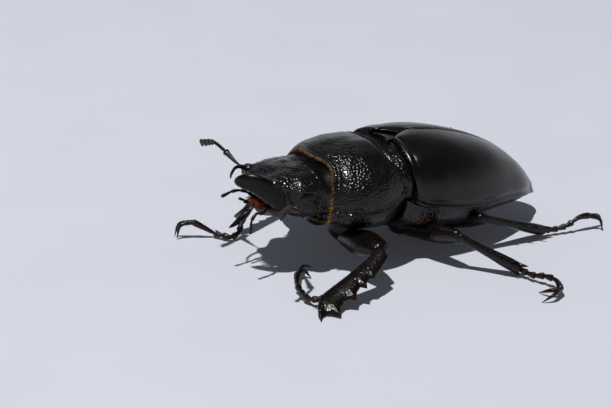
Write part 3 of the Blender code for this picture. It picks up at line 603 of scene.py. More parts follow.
def make_head(finish):
    """The head capsule: superelliptic rings with brow ridges over the eyes, feeler lumps and deep pits."""
    stations = spaced(230, HEAD_FRONT, HEAD_REAR, lambda s: 1 + 2 * hump(s, 3.3, 0.6))
    s, t = np.meshgrid(stations, turns(320), indexing="ij")
    spread, rise = bent(t, smooth([2.9, 5, 7, 9.5], [4.2, 3.4, 2.7, 2.4], s))
    middle = smooth([2.9, 3.9, 5.5, 8.95], [0.45, 0.25, -0.1, -0.6], s)
    z = middle + np.where(rise > 0, head_top(s) - middle, middle - head_bottom(s)) * rise
    grid = columns(head_half_width(s) * spread, s, z)
    across = grid[..., 0]
    x, above = np.abs(across), z > 0
    brow = hump(z, 0.62, 0.3) * hump(s, 5.9, 1.25) * (x > 2.5)
    lump = hump(x, 2.9, 0.5) * hump(s, 3.4, 0.45) * hump(z, 1.0, 0.5)
    socket = hump(np.hypot((s - EYE_MIDDLE[1]) / 1.25, (z - EYE_MIDDLE[2]) / 1.0), 1.0, 0.16) * (x > 3.5)
    dips = 0.25 * hump(x, 0, 1.7) * hump(s, 3.9, 0.8) + 0.12 * hump(x, 2.3, 0.6) * hump(s, 6.6, 1.0)
    knobs = 0.1 * hump(x, 1.2, 0.5) * hump(s, 6.9, 0.5)
    ridge = 0.1 * hump(s, 8.35, 0.25) * (z > 0.5)
    waves = 0.05 * np.sin(2.1 * across + 1.3 * s) * np.sin(2.3 * s - 0.6 * across)
    relief = 0.5 * brow + 0.35 * lump - 0.05 * socket + ridge + above * (knobs - dips + waves)
    grid = pushed(grid, relief - 0.02 * head_grain(grid) * pitting(grid, 0.35))
    piece("head_capsule", [lofted(rounded_ends(grid, 0.3))], finish, ["head"], head_grain)


def make_lip(finish):
    """The upper lip: a thin plate between the jaws, hollowed in front. It has no mark, so no pits."""
    share, t = np.meshgrid(np.linspace(0, 1, 40), turns(60), indexing="ij")
    spread, rise = bent(t, 3.5)
    half = 1.9 - 0.75 * share ** 1.5
    grid = columns(half * spread, 3.4 - 0.9 * share + 0.2 * share * (1 - np.abs(spread)),
                   0.25 - 0.35 * share + 0.2 * rise)
    grid = pushed(grid, -0.03 * pitting(grid, 0.3))
    piece("upper_lip", [lofted(rounded_ends(grid, 0.12, 0.1))], finish)


def make_eye(side, hand, finish):
    """A compound eye: an ellipsoid that the brow ridge cuts into."""
    x, s, z = EYE_MIDDLE
    grid = ellipsoid((side * x, s, z), (-side * 0.8, 1.1, 0.84), 80, 50, 0.04)
    piece("eye_lens_" + hand, [lofted(grid)], finish, ["eye_" + hand])


# Each jaw: body points along it, its heights and widths there, and the share where its teeth grow
JAWS = {
    "l": ([(2.5, 5.6, -1.0), (2.7, 4.6, -0.6), (2.75, 3.5, -0.1), (2.5, 2.5, 0.4), (2.0, 1.6, 0.78),
           (1.1, 0.6, 0.76), (0.35, -0.04, 0.55)],
          [1.3, 1.4, 1.3, 1.15, 1.05, 0.85, 0.36], [1.0, 1.0, 0.85, 0.7, 0.58, 0.45, 0.2], 0.52),
    "r": ([(-2.5, 5.6, -1.0), (-2.7, 4.6, -0.5), (-3.0, 3.7, 0.3), (-2.75, 2.7, 1.1), (-2.5, 1.75, 1.15),
           (-1.95, 0.95, 0.65), (-0.9, 0.25, 0.42)],
          [1.3, 1.25, 0.7, 0.3, 0.17, 0.14, 0.06], [1.0, 1.0, 0.7, 0.3, 0.17, 0.14, 0.06], 0.42),
}
JAW_TEETH = ((1.5, -0.35, 0.42), (1.0, 0.55, 0.34))


def jaw_grain(points):
    """The base of a jaw is pitted like the head, and its hook is smooth."""
    return np.clip((points[..., 1] - 1.7) / 0.5, 0.05, 1)


def make_jaw(side, hand, finish):
    """A mandible: a deep pitted base that bends in to a smooth hook, with two teeth on its inner edge."""
    knots, heights, widths, tooth_share = JAWS[hand]
    share = np.linspace(0, 1, 120)
    at = np.linspace(0, 1, len(knots))
    tip = round_end(share, 0, 0.07)
    facing = (0, 0, 1)
    grid = tube(curve(knots, 120), smooth(at, widths, share) * tip, smooth(at, heights, share) * tip,
                facing, 72, 2.4)
    shells = [lofted(pushed(grid, -0.05 * jaw_grain(grid) * pitting(grid, 0.36)))]
    root = curve(knots, 100)[round(100 * tooth_share)]
    for reach, back, radius in JAW_TEETH:
        tip = root + np.array([-side * reach, back, 0.05])
        path = curve([root, (root + tip) / 2 + np.array([0, -0.08, 0.06]), tip], 40)
        shells.append(horn(path, radius, 1.7, 0.03, 0.7, facing, 28))
    piece("jaw_" + hand, shells, finish, ["mandible_" + hand], jaw_grain)


LONG_PALPS = {
    "l": [(1.6, 4.6, -2.2), (2.6, 3.1, -2.0), (3.0, 2.4, -2.25), (3.3, 1.4, -2.2), (3.4, 1.03, -2.6),
          (3.5, 0.93, -4.4)],
    "r": [(-1.6, 4.6, -2.4), (-1.4, 3.0, -1.4), (-1.1, 1.7, -1.0), (-0.9, 0.6, -1.05), (-0.75, -0.2, -1.3),
          (-0.65, -0.75, -1.5)],
}
LONG_PALP_JOINTS = (0, 0.3, 0.52, 0.75, 1)
SHORT_PALP = [(0.7, 4.6, -2.5), (0.75, 3.2, -2.4), (0.6, 2.2, -2.0), (0.5, 1.4, -1.7)]
SHORT_PALP_JOINTS = (0, 0.4, 0.7, 1)


def jointed(knots, joints, slim, broad, sides=20, count=26, facing=NEARLY_UP):
    """A chain of club-shaped joints along a smooth curve: each swells from a slim base to a round end.

    The joints are shares of the curve's length, and each joint's end sinks a little into the next.
    """
    fine = curve(knots, 400)
    u = np.linspace(0, 1, count)
    swell = slim + (broad - slim) * smooth([0, 0.5, 0.8, 1], [0, 0.65, 1, 0.9], u)
    swell = swell * np.sqrt(np.clip(1 - np.clip((u - 0.86) / 0.142, 0, 1) ** 2, 0.0005, 1))
    swell = swell * np.sqrt(np.clip(1 - np.clip((0.1 - u) / 0.102, 0, 1) ** 2, 0.0005, 1))
    shells = []
    for start, end in zip(joints, joints[1:]):
        share = np.linspace(start, min(end + 0.012, 1), count)
        path = columns(*(np.interp(share, np.linspace(0, 1, 400), fine[:, axis]) for axis in range(3)))
        shells.append(lofted(tube(path, swell, swell, facing, sides)))
    return shells


def make_palps(side, hand, finish):
    """A long and a short mouth feeler of one side."""
    long = jointed(LONG_PALPS[hand], LONG_PALP_JOINTS, 0.11, 0.2)
    short = jointed(np.array(SHORT_PALP) * [side, 1, 1], SHORT_PALP_JOINTS, 0.1, 0.17)
    piece("long_palp_" + hand, long, finish, ["palp_long_" + hand])
    piece("short_palp_" + hand, short, finish, ["palp_short_" + hand])


def make_mouth(finish):
    """The plates under the mouth that carry the palps: a low ellipsoid with lobes."""
    grid = ellipsoid((0, 5.2, -2.5), (2.5, 1.75, 1.0), 80, 60)
    to_poles = np.sin(np.linspace(0.05, np.pi - 0.05, 60))[:, None]
    relief = 0.14 * np.cos(2.6 * grid[..., 0]) * to_poles - 0.06 * pitting(grid, 0.45)
    piece("mouth_plates", [lofted(pushed(grid, relief))], finish, ["mouth_base"])


# Each feeler: floor points of its root, elbow and tip, and the way that its comb points
ANTENNAE = {
    "l": (on_floor((3.1, 5.0, 0.2)), (8.6, -17.9, 9.6), (10.4, -21.0, 10.35), (0.1, 0.1, -1)),
    "r": (on_floor((-3.0, 3.4, 0.95)), (-7.1, -17.7, 11.15), (-6.2, -21.25, 13.12), (0.81, -0.11, -0.58)),
}
BEADS = (0, 0.13, 0.22, 0.31, 0.4, 0.49)
CLUB_JOINTS = (0.49, 0.61, 0.74, 0.87, 1.0)
CLUB_LEAVES = ((0.5, 0.58), (0.65, 0.7), (0.75, 0.82), (0.75, 0.95))


def make_antenna(hand, shaft, club):
    """A long bent scape, six bead joints and a comb of four leaves, each a flat tapering lobe."""
    root, elbow, tip, facing = (np.asarray(p, float) for p in ANTENNAE[hand])
    sag, arch = np.array([0, 0, 0.35]), np.array([0, 0, 0.5])
    path = curve([root, root * 0.6 + elbow * 0.4 - sag, root * 0.2 + elbow * 0.8 - sag * 0.4, elbow], 60)
    thick = smooth([0, 0.05, 0.12, 0.5, 0.85, 0.96, 1], [0.2, 0.26, 0.15, 0.18, 0.3, 0.32, 0.05],
                   np.linspace(0, 1, 60))
    scape = [lofted(tube(path, thick, thick, facing, 24))]
    piece("feeler_shaft_" + hand, scape, shaft, ["scape_" + hand], is_body=False)
    way = unit(tip - elbow)
    length = np.linalg.norm(tip - elbow)
    bow = unit(facing - facing @ way * way)
    knots = [elbow - way * 0.05, elbow + way * length * 0.5 + arch, tip]
    beads = jointed(knots, BEADS, 0.12, 0.21, facing=facing)
    leaves = jointed(knots, CLUB_JOINTS, 0.15, 0.26, facing=facing)
    spine = curve(knots, 101)
    u = np.linspace(0, 1, 36)
    half = smooth([0, 0.3, 0.7, 1], [0.18, 0.25, 0.24, 0.12], u) * np.sqrt(np.clip(1 - u ** 5, 0.003, 1))
    for reach, share in CLUB_LEAVES:
        base = spine[round(100 * share)]
        middle, end = base + bow * reach * 0.6 + way * 0.08, base + bow * reach + way * 0.2
        leaf = curve([base - bow * 0.12, middle, end], 36)
        leaves.append(lofted(tube(leaf, half, half * 0.6, way, 24)))
    piece("feeler_beads_" + hand, beads, shaft, is_body=False)
    piece("feeler_club_" + hand, leaves, club, ["antenna_" + hand], is_body=False)


# Legs: the hip is a body point and the others are floor points. A front leg's shin is a blade: "edge" is
# the way of its toothed edge, and "blade" its length and breadth as shares of the outlines below.


LEGS = {
    "front_l": {
        "hip": (3.6, 13.2, -5.1), "knee": (11.2, -9.0, 4.3), "ankle": (12.8, -17.5, 1.15),
        "toes": [(11.7, -17.95, 0.7), (9.75, -17.75, 0.6), (8.1, -17.25, 0.65), (5.5, -15.7, 0.8)],
        "claws": [(3.4, -12.6, 0.06), (6.0, -14.2, 0.06)],
        "edge": (0.93, 0.2, -0.25), "blade": (1.0, 1.0),
    },
    "front_r": {
        "hip": (-3.6, 13.2, -5.1), "knee": (-11.0, -8.1, 6.2), "ankle": (-7.6, -14.9, 1.9),
        "toes": [(-7.5, -15.6, 0.75), (-7.3, -16.55, 0.5), (-8.2, -17.35, 0.55), (-9.16, -17.85, 0.6),
                 (-9.7, -18.8, 1.2), (-10.4, -20.1, 2.0)],
        "claws": [(-10.6, -21.8, 0.06), (-11.55, -21.6, 0.06)],
        "edge": (-0.84, -0.25, -0.3), "blade": (0.86, 0.66),
    },
    "middle_l": {
        "hip": (3.0, 21.3, -4.8), "knee": (11.3, 1.5, 3.8), "ankle": (16.3, 6.4, 0.75),
        "toes": [(18.1, 6.7, 0.75), (19.3, 7.2, 1.0), (20.7, 7.5, 1.1), (22.9, 6.6, 0.9)],
        "claws": [(20.8, 5.3, 0.06), (23.0, 4.0, 0.06)],
    },
    "middle_r": {
        "hip": (-3.0, 21.3, -4.8), "knee": (-11.4, 1.8, 3.85), "ankle": (-16.6, 6.4, 0.75),
        "toes": [(-17.9, 7.0, 0.75), (-19.2, 7.4, 1.0), (-20.6, 7.6, 1.1), (-22.6, 7.0, 0.9)],
        "claws": [(-20.9, 5.4, 0.06), (-23.1, 4.6, 0.06)],
    },
    "hind_l": {
        "hip": (1.9, 26.8, -4.6), "knee": (8.3, 7.1, 3.85), "ankle": (8.5, 15.8, 0.75),
        "toes": [(8.7, 17.2, 0.7), (9.0, 19.0, 1.0), (9.1, 20.6, 1.7), (9.2, 22.2, 1.7)],
        "claws": [(8.9, 24.2, 0.06), (10.5, 23.1, 0.06)],
    },
    "hind_r": {
        "hip": (-1.9, 26.8, -4.6), "knee": (-9.0, 9.4, 4.8), "ankle": (-14.5, 17.0, 1.2),
        "toes": [(-15.7, 18.4, 1.2), (-17.4, 20.4, 2.2), (-18.9, 22.1, 2.95), (-20.5, 23.7, 2.95)],
        "claws": [(-22.3, 25.6, 0.06), (-23.3, 24.4, 0.06)],
    },
}
COXAE = {
    "front": ((2.6, 13.4, -4.3), (2.0, 1.6, 1.7)),
    "middle": ((2.6, 21.2, -4.3), (1.7, 1.4, 1.3)),
    "hind": ((3.3, 26.3, -4.0), (3.0, 1.15, 1.2)),
}
THIGH_SCALE = {"front": 1.25, "middle": 1.0, "hind": 1.0}
TOE_JOINTS = (0, 0.16, 0.31, 0.46, 0.61, 1.0)

# The blade's outlines: (along, across). Past the fork's share of the rows, both run out to the end
# prong's tip. The ankle's place is along the same line.
BLADE_OUTER = ((0, 0.75), (0.5, 1.35), (2.2, 1.9), (3.0, 2.04), (3.5, 2.27), (3.9, 1.92), (4.5, 2.14),
               (5.0, 2.68), (5.35, 2.04), (6.1, 2.27), (6.9, 2.98), (7.3, 2.32), (7.8, 2.14), (8.7, 2.5),
               (9.6, 3.4), (9.9, 2.45), (10.3, 2.0), (10.9, 2.15), (11.7, 2.75))
BLADE_INNER = ((0, -0.5), (0.6, -0.35), (2.0, -0.1), (4.9, -0.02), (8.9, -0.1), (9.3, 0.05), (10.2, 0.7),
               (11.05, 1.65), (11.7, 2.75))
BLADE_OUTER_FORK, BLADE_INNER_FORK, BLADE_LENGTH = 10.3, 9.0, 11.7
BLADE_ANKLE = 9.2
FORK_SHARE = 0.86

# A slim shin's least and greatest half-width, and its teeth: where, how far out and how far on
SLIM_HALF_WIDTHS = (0.56, 0.9)
SLIM_TEETH = ((0.42, 0.45, 0.3), (0.62, 0.75, 0.45), (0.8, 0.9, 0.6))


def round_end(share, head, tail):
    """Falls to nothing on a quarter circle at each end, over the given shares of the length."""
    near = np.clip((head - share) / head, 0, 1) if head else 0 * share
    far = np.clip((share - 1 + tail) / tail, 0, 1) if tail else 0 * share
    return np.sqrt(np.clip(1 - near ** 2, 0.0004, 1)) * np.sqrt(np.clip(1 - far ** 2, 0.0004, 1))


def make_coxa(pair, side, hand, finish):
    """The rounded hip joint: an ellipsoid turned out of the breast plate."""
    (x, s, z), (a, b, c) = COXAE[pair]
    grid = ellipsoid((side * x, s, z), (-side * a, b, c), 60, 44)
    grid = pushed(grid, -0.04 * pitting(grid, 0.5))
    piece("hip_" + pair + "_" + hand, [lofted(grid)], finish, ["coxa_" + pair + "_" + hand])


def shin_frame(leg):
    """Ways along a shin, out to its toothed edge and square to both."""
    knee, ankle = np.array(leg["knee"]), np.array(leg["ankle"])
    shin_way = unit(ankle - knee)
    edge = np.array(leg.get("edge", knee - on_floor(leg["hip"])))
    outer = unit(edge - edge @ shin_way * shin_way)
    return shin_way, outer, np.cross(outer, shin_way)


def toe_knots(leg):
    """The foot's path, from inside the end of the shin through its toes.

    A blade's foot grows beside its toothed edge.
    """
    shin_way, outer, _ = shin_frame(leg)
    beside = 0.45 if "edge" in leg else 0.0
    return np.array([np.array(leg["ankle"]) - shin_way * 0.3 + outer * beside, *leg["toes"]])


def blade_rings(start, shin_way, outer, plane, scale):
    """Rings of the digging blade: each joins the inner outline to the scalloped outer one as a flat lens.

    Both outlines are given along the shin and across it, and a ring's thickness falls with its width.
    """
    share = np.linspace(0, 1, 260)
    edges = []
    for knots, fork in ((BLADE_OUTER, BLADE_OUTER_FORK), (BLADE_INNER, BLADE_INNER_FORK)):
        past_fork = fork + (BLADE_LENGTH - fork) * (share - FORK_SHARE) / (1 - FORK_SHARE)
        along = np.where(share < FORK_SHARE, fork * share / FORK_SHARE, past_fork)
        across = np.interp(along, *np.transpose(knots))
        edges.append(start + np.outer(along * scale[0], shin_way) + np.outer(across * scale[1], outer))
    outside, inside = edges
    half = (outside - inside) / 2 + outer * TIP_RADIUS
    width = np.linalg.norm(half, axis=1)
    growth = np.sqrt(np.clip(share / 0.03, 0.02, 1))[:, None]
    thick = 0.5 * np.clip(width, 0, 0.7)[:, None] ** 0.6 * growth
    spread, rise = bent(turns(56), 1.8)
    rings = ((outside + inside) / 2)[:, None] + (half * growth)[:, None] * spread[:, None]
    rings = rings + thick[:, None] * rise[:, None] * plane
    return pushed(rings, -0.03 * pitting(rings, 0.4) * np.clip(width / 0.5, 0, 1)[:, None])


def blade_shin(leg, start):
    """The skins of a front shin: the blade, and a spur beside its end."""
    ankle = np.array(leg["ankle"])
    shin_way, outer, plane = shin_frame(leg)
    scale = np.linalg.norm(ankle - start) / BLADE_ANKLE * np.array(leg["blade"])
    end = ankle + outer * 0.1
    return [lofted(blade_rings(start, shin_way, outer, plane, scale)),
            spike(end - shin_way * 0.5, end + shin_way * 0.9 - outer * 0.35, 0.2)]


def slim_shin(leg, start):
    """The skins of a middle or hind shin: a flat tube that widens to its end, three teeth and two spurs."""
    ankle = np.array(leg["ankle"])
    shin_way, outer, plane = shin_frame(leg)
    slim, broad = SLIM_HALF_WIDTHS
    share = np.linspace(0, 1, 90)
    half_widths = [0.55, slim, slim * 0.55 + broad * 0.45, broad, broad * 0.95]
    wide = smooth([0, 0.15, 0.5, 0.85, 1], half_widths, share)
    thick = np.clip(wide * 0.66, 0.42, 0.62)
    round_off = round_end(share, 0.05, 0.03)
    centres = start + (ankle - start) * share[:, None]
    grid = tube(centres, wide * round_off, thick * round_off, plane, 48, 2.4)
    shells = [lofted(pushed(grid, -0.03 * pitting(grid, 0.35) * round_off[:, None]))]
    for at, reach, forward in SLIM_TEETH:
        half = np.interp(at, share, wide)
        centre = start + shin_way * np.linalg.norm(ankle - start) * at
        tip = centre + outer * (half + reach) + shin_way * forward
        shells.append(spike(centre + outer * half * 0.2, tip, 0.26, shin_way * -0.05, 16, 0.6, plane))
    for way in (-1, 1):
        root = ankle + plane * way * 0.15 - shin_way * 0.6 + outer * way * 0.5
        tip = ankle + shin_way * 0.5 + outer * way * 1.1 + plane * way * 0.35
        shells.append(spike(root, tip, 0.26))
    return shells


def make_leg(pair, hand, shell, foot_shell):
    """Thigh, shin with teeth and spurs, five toe joints and two claws."""
    tag = pair + "_" + hand
    leg = LEGS[tag]
    hip, knee = on_floor(leg["hip"]), np.array(leg["knee"])
    thigh_way = unit(knee - hip)
    shin_way = shin_frame(leg)[0]

    share = np.linspace(0, 1, 90)
    wide = smooth([0, 0.25, 0.55, 0.85, 1], [0.85, 1.15, 1.35, 1.05, 0.8], share) * THIGH_SCALE[pair]
    wide = wide * round_end(share, 0.05, 0.06)
    path = hip + (knee + thigh_way * 0.45 - hip) * share[:, None]
    grid = tube(path, wide, wide * 0.68, np.cross(thigh_way, shin_way), 56, 2.2)
    grid = pushed(grid, -0.03 * pitting(grid, 0.4))
    piece("thigh_" + tag, [lofted(grid)], shell, ["femur_" + tag], is_body=False)

    shin = blade_shin if pair == "front" else slim_shin
    piece("shin_" + tag, shin(leg, knee - shin_way * 0.3), shell, ["tibia_" + tag], is_body=False)

    knots = toe_knots(leg)
    foot = jointed(knots, TOE_JOINTS, 0.19, 0.38, 24)
    way = unit(knots[-1] - knots[-2])
    for tip in np.array(leg["claws"]):
        bend = (knots[-1] + tip) / 2 + way * 0.45 + np.array([0, 0, 0.35])
        path = curve([knots[-1] - way * 0.25, bend, tip], 30)
        foot.append(horn(path, 0.25, 1.8, 0.03, 1.0, NEARLY_UP, 14))
    piece("foot_" + tag, foot, foot_shell, ["tarsus_" + tag], is_body=False)


# Hairs


def hairs(name, roots, ways, lengths, places, finish, radius=0.02, is_body=True):
    """Joined hairs: each a three-sided thread from its root along its way, thinning and sagging to its tip.

    A hair's point is root + length * (way * t + sag * t^2), and radius * (1 - 0.8 t) out from there.
    Its map is a patch at its root's place on the skin, unwrapped by its turn and its length.
    """
    t = np.linspace(0, 1, HAIR_RINGS)
    ways = unit(ways)
    run = ways[:, None] * t[:, None] + HAIR_SAG * t[:, None] ** 2
    middle = roots[:, None] + lengths[:, None, None] * run
    side = unit(np.cross(ways, (0.31, 0.2, 1.0)))
    above = np.cross(side, ways)
    turn = turns(HAIR_SIDES)[:, None]
    ring = np.cos(turn) * side[:, None] + np.sin(turn) * above[:, None]
    points = (middle[:, :, None] + (radius * (1 - 0.8 * t))[:, None, None] * ring[:, None]).reshape(-1, 3)

    row, column = (index.ravel() for index in np.meshgrid(np.arange(HAIR_RINGS - 1), np.arange(HAIR_SIDES),
                                                          indexing="ij"))
    after = (column + 1) % HAIR_SIDES
    rows = np.stack([row, row + 1, row + 1, row], 1)
    each = HAIR_RINGS * HAIR_SIDES
    start = each * np.arange(len(roots))[:, None, None]
    quads = (HAIR_SIDES * rows + np.stack([column, column, after, after], 1) + start).reshape(-1, 4)
    caps = (np.array([[0, 1, 2], [each - 1, each - 2, each - 3]]) + start).reshape(-1, 3)
    mesh = bpy.data.meshes.new(name)
    mesh.from_pydata(in_frame(points, is_body).tolist(), [], quads.tolist() + caps.tolist())

    quad_map = np.stack([np.stack([column, column, column + 1, column + 1], 1) / HAIR_SIDES,
                         rows / (HAIR_RINGS - 1)], -1).reshape(1, -1, 2)
    cap_map = np.array([[0, 0], [1, 0], [0.5, 0.1], [0, 1], [1, 1], [0.5, 0.9]])[None]
    corners = [(places[:, None] + HAIR_PATCH * patch).ravel() for patch in (quad_map, cap_map)]
    layer = mesh.uv_layers.new(name="OFBake")
    layer.data.foreach_set("uv", np.concatenate(corners).astype(np.float32))
    added(name, mesh, finish)


def scattered(ways, spread):
    """The ways, each turned a little at random."""
    return unit(unit(ways) + rng.normal(0, spread, np.shape(ways)))


def make_shield_hairs(finish):
    """Golden fringes: from the shield forward over the head, back over the neck ring, and at the throat."""
    turn = rng.uniform(-1.75, 1.75, 1500)
    spread, rise = bent(turn)
    s = pronotum_front(np.sin(turn)) + rng.uniform(0.02, 0.2, len(turn))
    low, high = pronotum_margin(s), pronotum_crown(s)
    inset = 0.13
    roots = columns((pronotum_half_width(s) - inset) * spread, s, low + (high - low - inset) * rise)
    hairs("neck_fringe", roots, scattered(columns(-0.25 * spread, -1, -0.35 * rise), 0.12),
          rng.uniform(0.26, 0.46, len(s)), columns(turn / 7 + 0.5, 0.05), finish)

    x = rng.uniform(-4.6, 4.6, 700)
    side = np.abs(x) / pronotum_half_width(18.0)
    s = pronotum_rear(side) - 0.1 + rng.uniform(0.0, 0.25, len(x))
    z = 4.9 * np.clip(1 - side ** DOME_POWER, 0, 1) ** (1 / DOME_POWER) - 0.12
    hairs("shield_rear_fringe", columns(x, s, z), scattered(columns(0.1 * x, 1, 0.12), 0.2),
          rng.uniform(0.25, 0.45, len(x)), columns(x / 16 + 0.5, 0.9), finish)

    turn = rng.uniform(1.7, 4.58, 800)
    spread, drop = bent(turn)
    s = 9.78 + rng.uniform(0, 0.15, len(turn))
    high = pronotum_margin(s) - 0.25
    roots = columns((pronotum_half_width(s) - 0.35) * spread, s, high + (high - belly(s)) * drop)
    hairs("throat_fringe", roots, scattered(columns(0.2 * spread, -1, 0.4 * drop), 0.15),
          rng.uniform(0.25, 0.4, len(s)), columns(turn / 7, 0.02), finish)


def make_side_hairs(side, hand, finish):
    """A short golden patch on the flank, in front of the middle hip."""
    count = 130
    s = rng.uniform(18.7, 21.6, count)
    turn = rng.uniform(1.75, 2.15, count)
    spread, drop = bent(turn)
    high = wing_margin(s) - 0.2
    roots = columns(side * (wing_half_width(s) - 0.4) * spread, s, high + (high - belly(s)) * drop)
    ways = np.tile([side * 0.5, 0.8, -0.3], (count, 1))
    hairs("flank_hairs_" + hand, roots, scattered(ways, 0.2), rng.uniform(0.25, 0.4, count),
          columns(turn / 7, s / (2 * HALF_LENGTH)), finish)


def make_mouth_brush(finish):
    """The orange brush under the upper lip: hairs that point forward and down from the mouth plates."""
    count = 320
    x = rng.uniform(-1.3, 1.3, count)
    roots = np.stack([x, rng.uniform(3.35, 3.8, count), rng.uniform(-2.1, -1.75, count)], 1)
    hairs("mouth_brush", roots, scattered(columns(0.15 * x, -1, -0.15), 0.18), rng.uniform(0.6, 1.0, count),
          columns(x / 4 + 0.5, roots[:, 2] / 5 + 0.9), finish)


def make_bristles(tag, finish):
    """Stiff gold bristles along the inner edge of the shin and under the toe joints."""
    on_shin, on_toes, toe_points = 50, 90, 400
    leg = LEGS[tag]
    knee, ankle = np.array(leg["knee"]), np.array(leg["ankle"])
    shin_way, outer, plane = shin_frame(leg)
    at = rng.uniform(0.25, 0.98, on_shin)[:, None]
    angle = rng.normal(0, 0.5, on_shin)[:, None]
    away = plane * np.sin(angle) - outer * np.cos(angle)
    reach = 0.0 if "edge" in leg else 0.42
    shin_roots = knee + (ankle - knee) * at + away * reach

    toes = curve(toe_knots(leg), toe_points)
    step = rng.integers(50, 360, on_toes)
    toe_way = unit(toes[step + 1] - toes[step])
    turn = rng.uniform(np.pi * 1.05, np.pi * 1.95, on_toes)[:, None]
    across = unit(np.cross(toe_way, NEARLY_UP))
    around = across * np.cos(turn) + np.array([0, 0, 1.0]) * np.sin(turn)
    toe_roots = toes[step] + around * 0.17

    roots = np.concatenate([shin_roots, toe_roots])
    ways = np.concatenate([scattered(away + 0.9 * shin_way, 0.1), scattered(around * 0.7 + toe_way, 0.15)])
    lengths = np.concatenate([rng.uniform(0.25, 0.45, on_shin), rng.uniform(0.2, 0.34, on_toes)])
    ways[:, 2] = np.maximum(ways[:, 2], (0.06 - roots[:, 2]) / lengths - HAIR_SAG[2])
    roots[:, 2] = np.maximum(roots[:, 2], 0.05)
    shin_places = np.hstack([angle / 7 + 0.25, at])
    toe_places = np.hstack([turn / 7, step[:, None] / toe_points])
    places = np.concatenate([shin_places, toe_places])
    hairs("bristles_" + tag, roots, ways, lengths, places, finish, 0.015, is_body=False)


# Floor, light and camera


def make_floor():
    """A wide floor of board under matt paint: pale, even and a little mottled."""
    size, mottle_size = 0.6, 18
    mesh = bpy.data.meshes.new("floor")
    corners = [(-size, -size, 0), (size, -size, 0), (size, size, 0), (-size, size, 0)]
    mesh.from_pydata(corners, [], [(0, 1, 2, 3)])
    floor = bpy.data.objects.new("floor", mesh)
    bpy.context.scene.collection.objects.link(floor)
    material, tree, shader = shaded("painted_floor", 0.7, 1.5)
    place = node(tree, "TexCoord").outputs["Object"]
    mottle = node(tree, "TexNoise", {"Scale": pattern_scale(mottle_size), "Detail": 3.0}, {"Vector": place})
    colour = node(tree, "Mix", {"data_type": "RGBA", 6: linear("C6CBD8"), 7: linear("CED2DE")},
                  {0: mottle.outputs["Fac"]})
    tree.links.new(colour.outputs[2], shader.inputs["Base Color"])
    mesh.materials.append(material)


def make_light():
    """A small round key lamp high in front, in a studio that is pale all round and dim overhead."""
    key = bpy.data.objects.new("key", bpy.data.lights.new("key", "AREA"))
    key.data.energy = 10.8
    key.data.shape = "DISK"
    key.data.size = 0.03
    key.data.color = linear("FFFCF8")[:3]
    key.location = (0.03, -0.25, 1.0)
    key.rotation_euler = (-key.location).to_track_quat("-Z", "Y").to_euler()
    bpy.context.scene.collection.objects.link(key)

    world = bpy.data.worlds.new("studio")
    world.use_nodes = True
    tree = world.node_tree
    background = tree.nodes["Background"]
    way = node(tree, "TexCoord").outputs["Generated"]
    height = node(tree, "SeparateXYZ", None, {"Vector": way}).outputs["Z"]
    rise = node(tree, "MapRange", {"From Min": 0.0, "From Max": 0.52}, {"Value": height})
    wall = node(tree, "Mix", {"data_type": "RGBA", 6: linear("E6E7EC"), 7: linear("42454C")},
                {0: rise.outputs["Result"]})
    tree.links.new(wall.outputs[2], background.inputs["Color"])
    background.inputs["Strength"].default_value = 1.0
    bpy.context.scene.world = world
    bpy.context.scene.view_settings.view_transform = "Standard"


def make_camera():
    """The camera on its bearing, height and roll about the point that it looks at."""
    azimuth, elevation, roll = CAMERA_AZIMUTH, CAMERA_ELEVATION, CAMERA_ROLL
    level = np.cos(elevation)
    back = np.array([np.sin(azimuth) * level, -np.cos(azimuth) * level, np.sin(elevation)])
    right = np.array([np.cos(azimuth), np.sin(azimuth), 0.0])
    up = np.cross(back, right)
    across = right * np.cos(roll) + up * np.sin(roll)
    above = up * np.cos(roll) - right * np.sin(roll)
    place = (CAMERA_AIM - SPAN_MIDDLE + back * CAMERA_DISTANCE) * MM
    camera = bpy.data.objects.new("camera", bpy.data.cameras.new("camera"))
    camera.data.sensor_width = CAMERA_SENSOR
    camera.data.lens = CAMERA_SENSOR / 2 / np.tan(CAMERA_FIELD / 2)
    camera.data.clip_start = 0.01
    rows = np.column_stack([across, above, back, place])
    camera.matrix_world = Matrix([*rows.tolist(), [0, 0, 0, 1]])
    bpy.context.scene.collection.objects.link(camera)
    bpy.context.scene.camera = camera


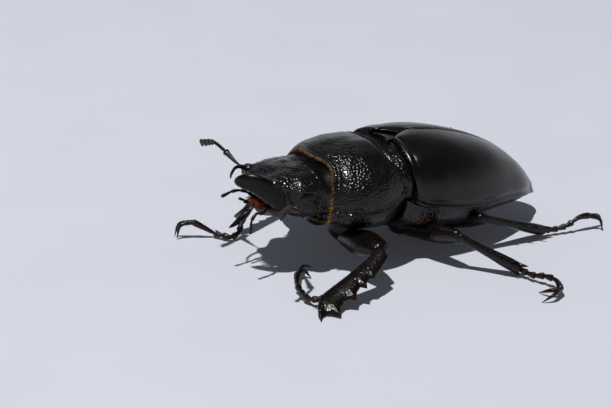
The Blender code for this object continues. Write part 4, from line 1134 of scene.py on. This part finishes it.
def make_beetle():
    """Every piece in its finish. A chitin's pits and grain are (size, depth) in millimetres."""
    # Thick black chitin of head, shield, scutellum and underside, cast on the cells that secreted it:
    # glossy, and glittering at its pits. Those are about 0.1 mm apart in life, and too fine to show,
    # so they are drawn three times as wide.
    black = chitin("black_chitin", "050505", "0B0A09", gleam=0.38, roughness=0.22, pits=(0.31, 0.044),
                   grain=(0.07, 0.002), coat=0.03, marked=True)
    # The wing cases' chitin, laid down in flat layers: a smooth satin black with broad soft highlights.
    wing = chitin("wing_case_chitin", "070606", "0E0B0B", gleam=0.31, roughness=0.24, pits=(0.16, 0.004),
                  grain=(0.06, 0.003), coat=0.1)
    # Leg chitin, tanned less deep: black-brown and duller, with small dents where hairs grow.
    leg = chitin("leg_chitin", "040303", "120906", gleam=0.22, roughness=0.28, pits=(0.3, 0.016),
                 grain=(0.08, 0.004), coat=0.06)
    # Foot chitin, thinner still, so that its red-brown shows through.
    foot = chitin("foot_chitin", "0C0705", "220F08", gleam=0.28, roughness=0.3, pits=(0.3, 0.02),
                  grain=(0.08, 0.005), coat=0.08)
    # Jaw chitin, the hardest: pitted at the base and worn to a smooth dark gloss along the hook.
    jaw = chitin("jaw_chitin", "040404", "0B0A0A", gleam=0.22, roughness=0.27, pits=(0.3, 0.035),
                 grain=(0.06, 0.003), coat=0.04, marked=True)
    # Clear chitin over the eye's many facets, each 0.03 mm in life and drawn three times as wide:
    # a dull brown-black bead.
    lens = chitin("eye_lens_chitin", "070605", "0E0B0A", gleam=0.3, roughness=0.34, pits=(0.09, 0.006),
                  grain=(0.05, 0.0), coat=0.05)
    # Feeler and palp chitin, thin and flexible: brown-black, with small round glints on each joint.
    shaft = chitin("feeler_chitin", "0B0706", "1C0F0A", gleam=0.32, roughness=0.3, pits=(0.2, 0.015),
                   grain=(0.06, 0.006), coat=0.1)
    # The comb's leaves under sensory down, whose hairs of 0.01 mm are drawn in clumps: matt grey-brown.
    club = velvet("feeler_club_nap", "17120E", "2C2219", 0.7, (0.1, 0.02))
    # The soft plates under the mouth, barely tanned and downy: dark red-brown with little gloss.
    mouth = velvet("mouth_plate_chitin", "1A0C06", "3A1A0A", 0.5, (0.3, 0.05))
    # Untanned hairs: gold along the shield's edges and the legs, orange in the mouth brush.
    gold = setae("golden_setae", "5A3A12", "A8803A")
    orange = setae("orange_setae", "4A1606", "A0441A")

    make_shield_hairs(gold)
    make_mouth_brush(orange)
    make_pronotum(black)
    make_scutellum(black)
    make_underside(black)
    make_head(black)
    make_lip(jaw)
    make_mouth(mouth)
    for side, hand in ((1, "l"), (-1, "r")):
        make_wing_case(side, hand, wing)
        make_eye(side, hand, lens)
        make_jaw(side, hand, jaw)
        make_palps(side, hand, shaft)
        make_antenna(hand, shaft, club)
        make_side_hairs(side, hand, gold)
        for pair in ("front", "middle", "hind"):
            make_coxa(pair, side, hand, leg)
            make_leg(pair, hand, leg, foot)
            make_bristles(pair + "_" + hand, gold)


make_beetle()
make_floor()
make_light()
make_camera()
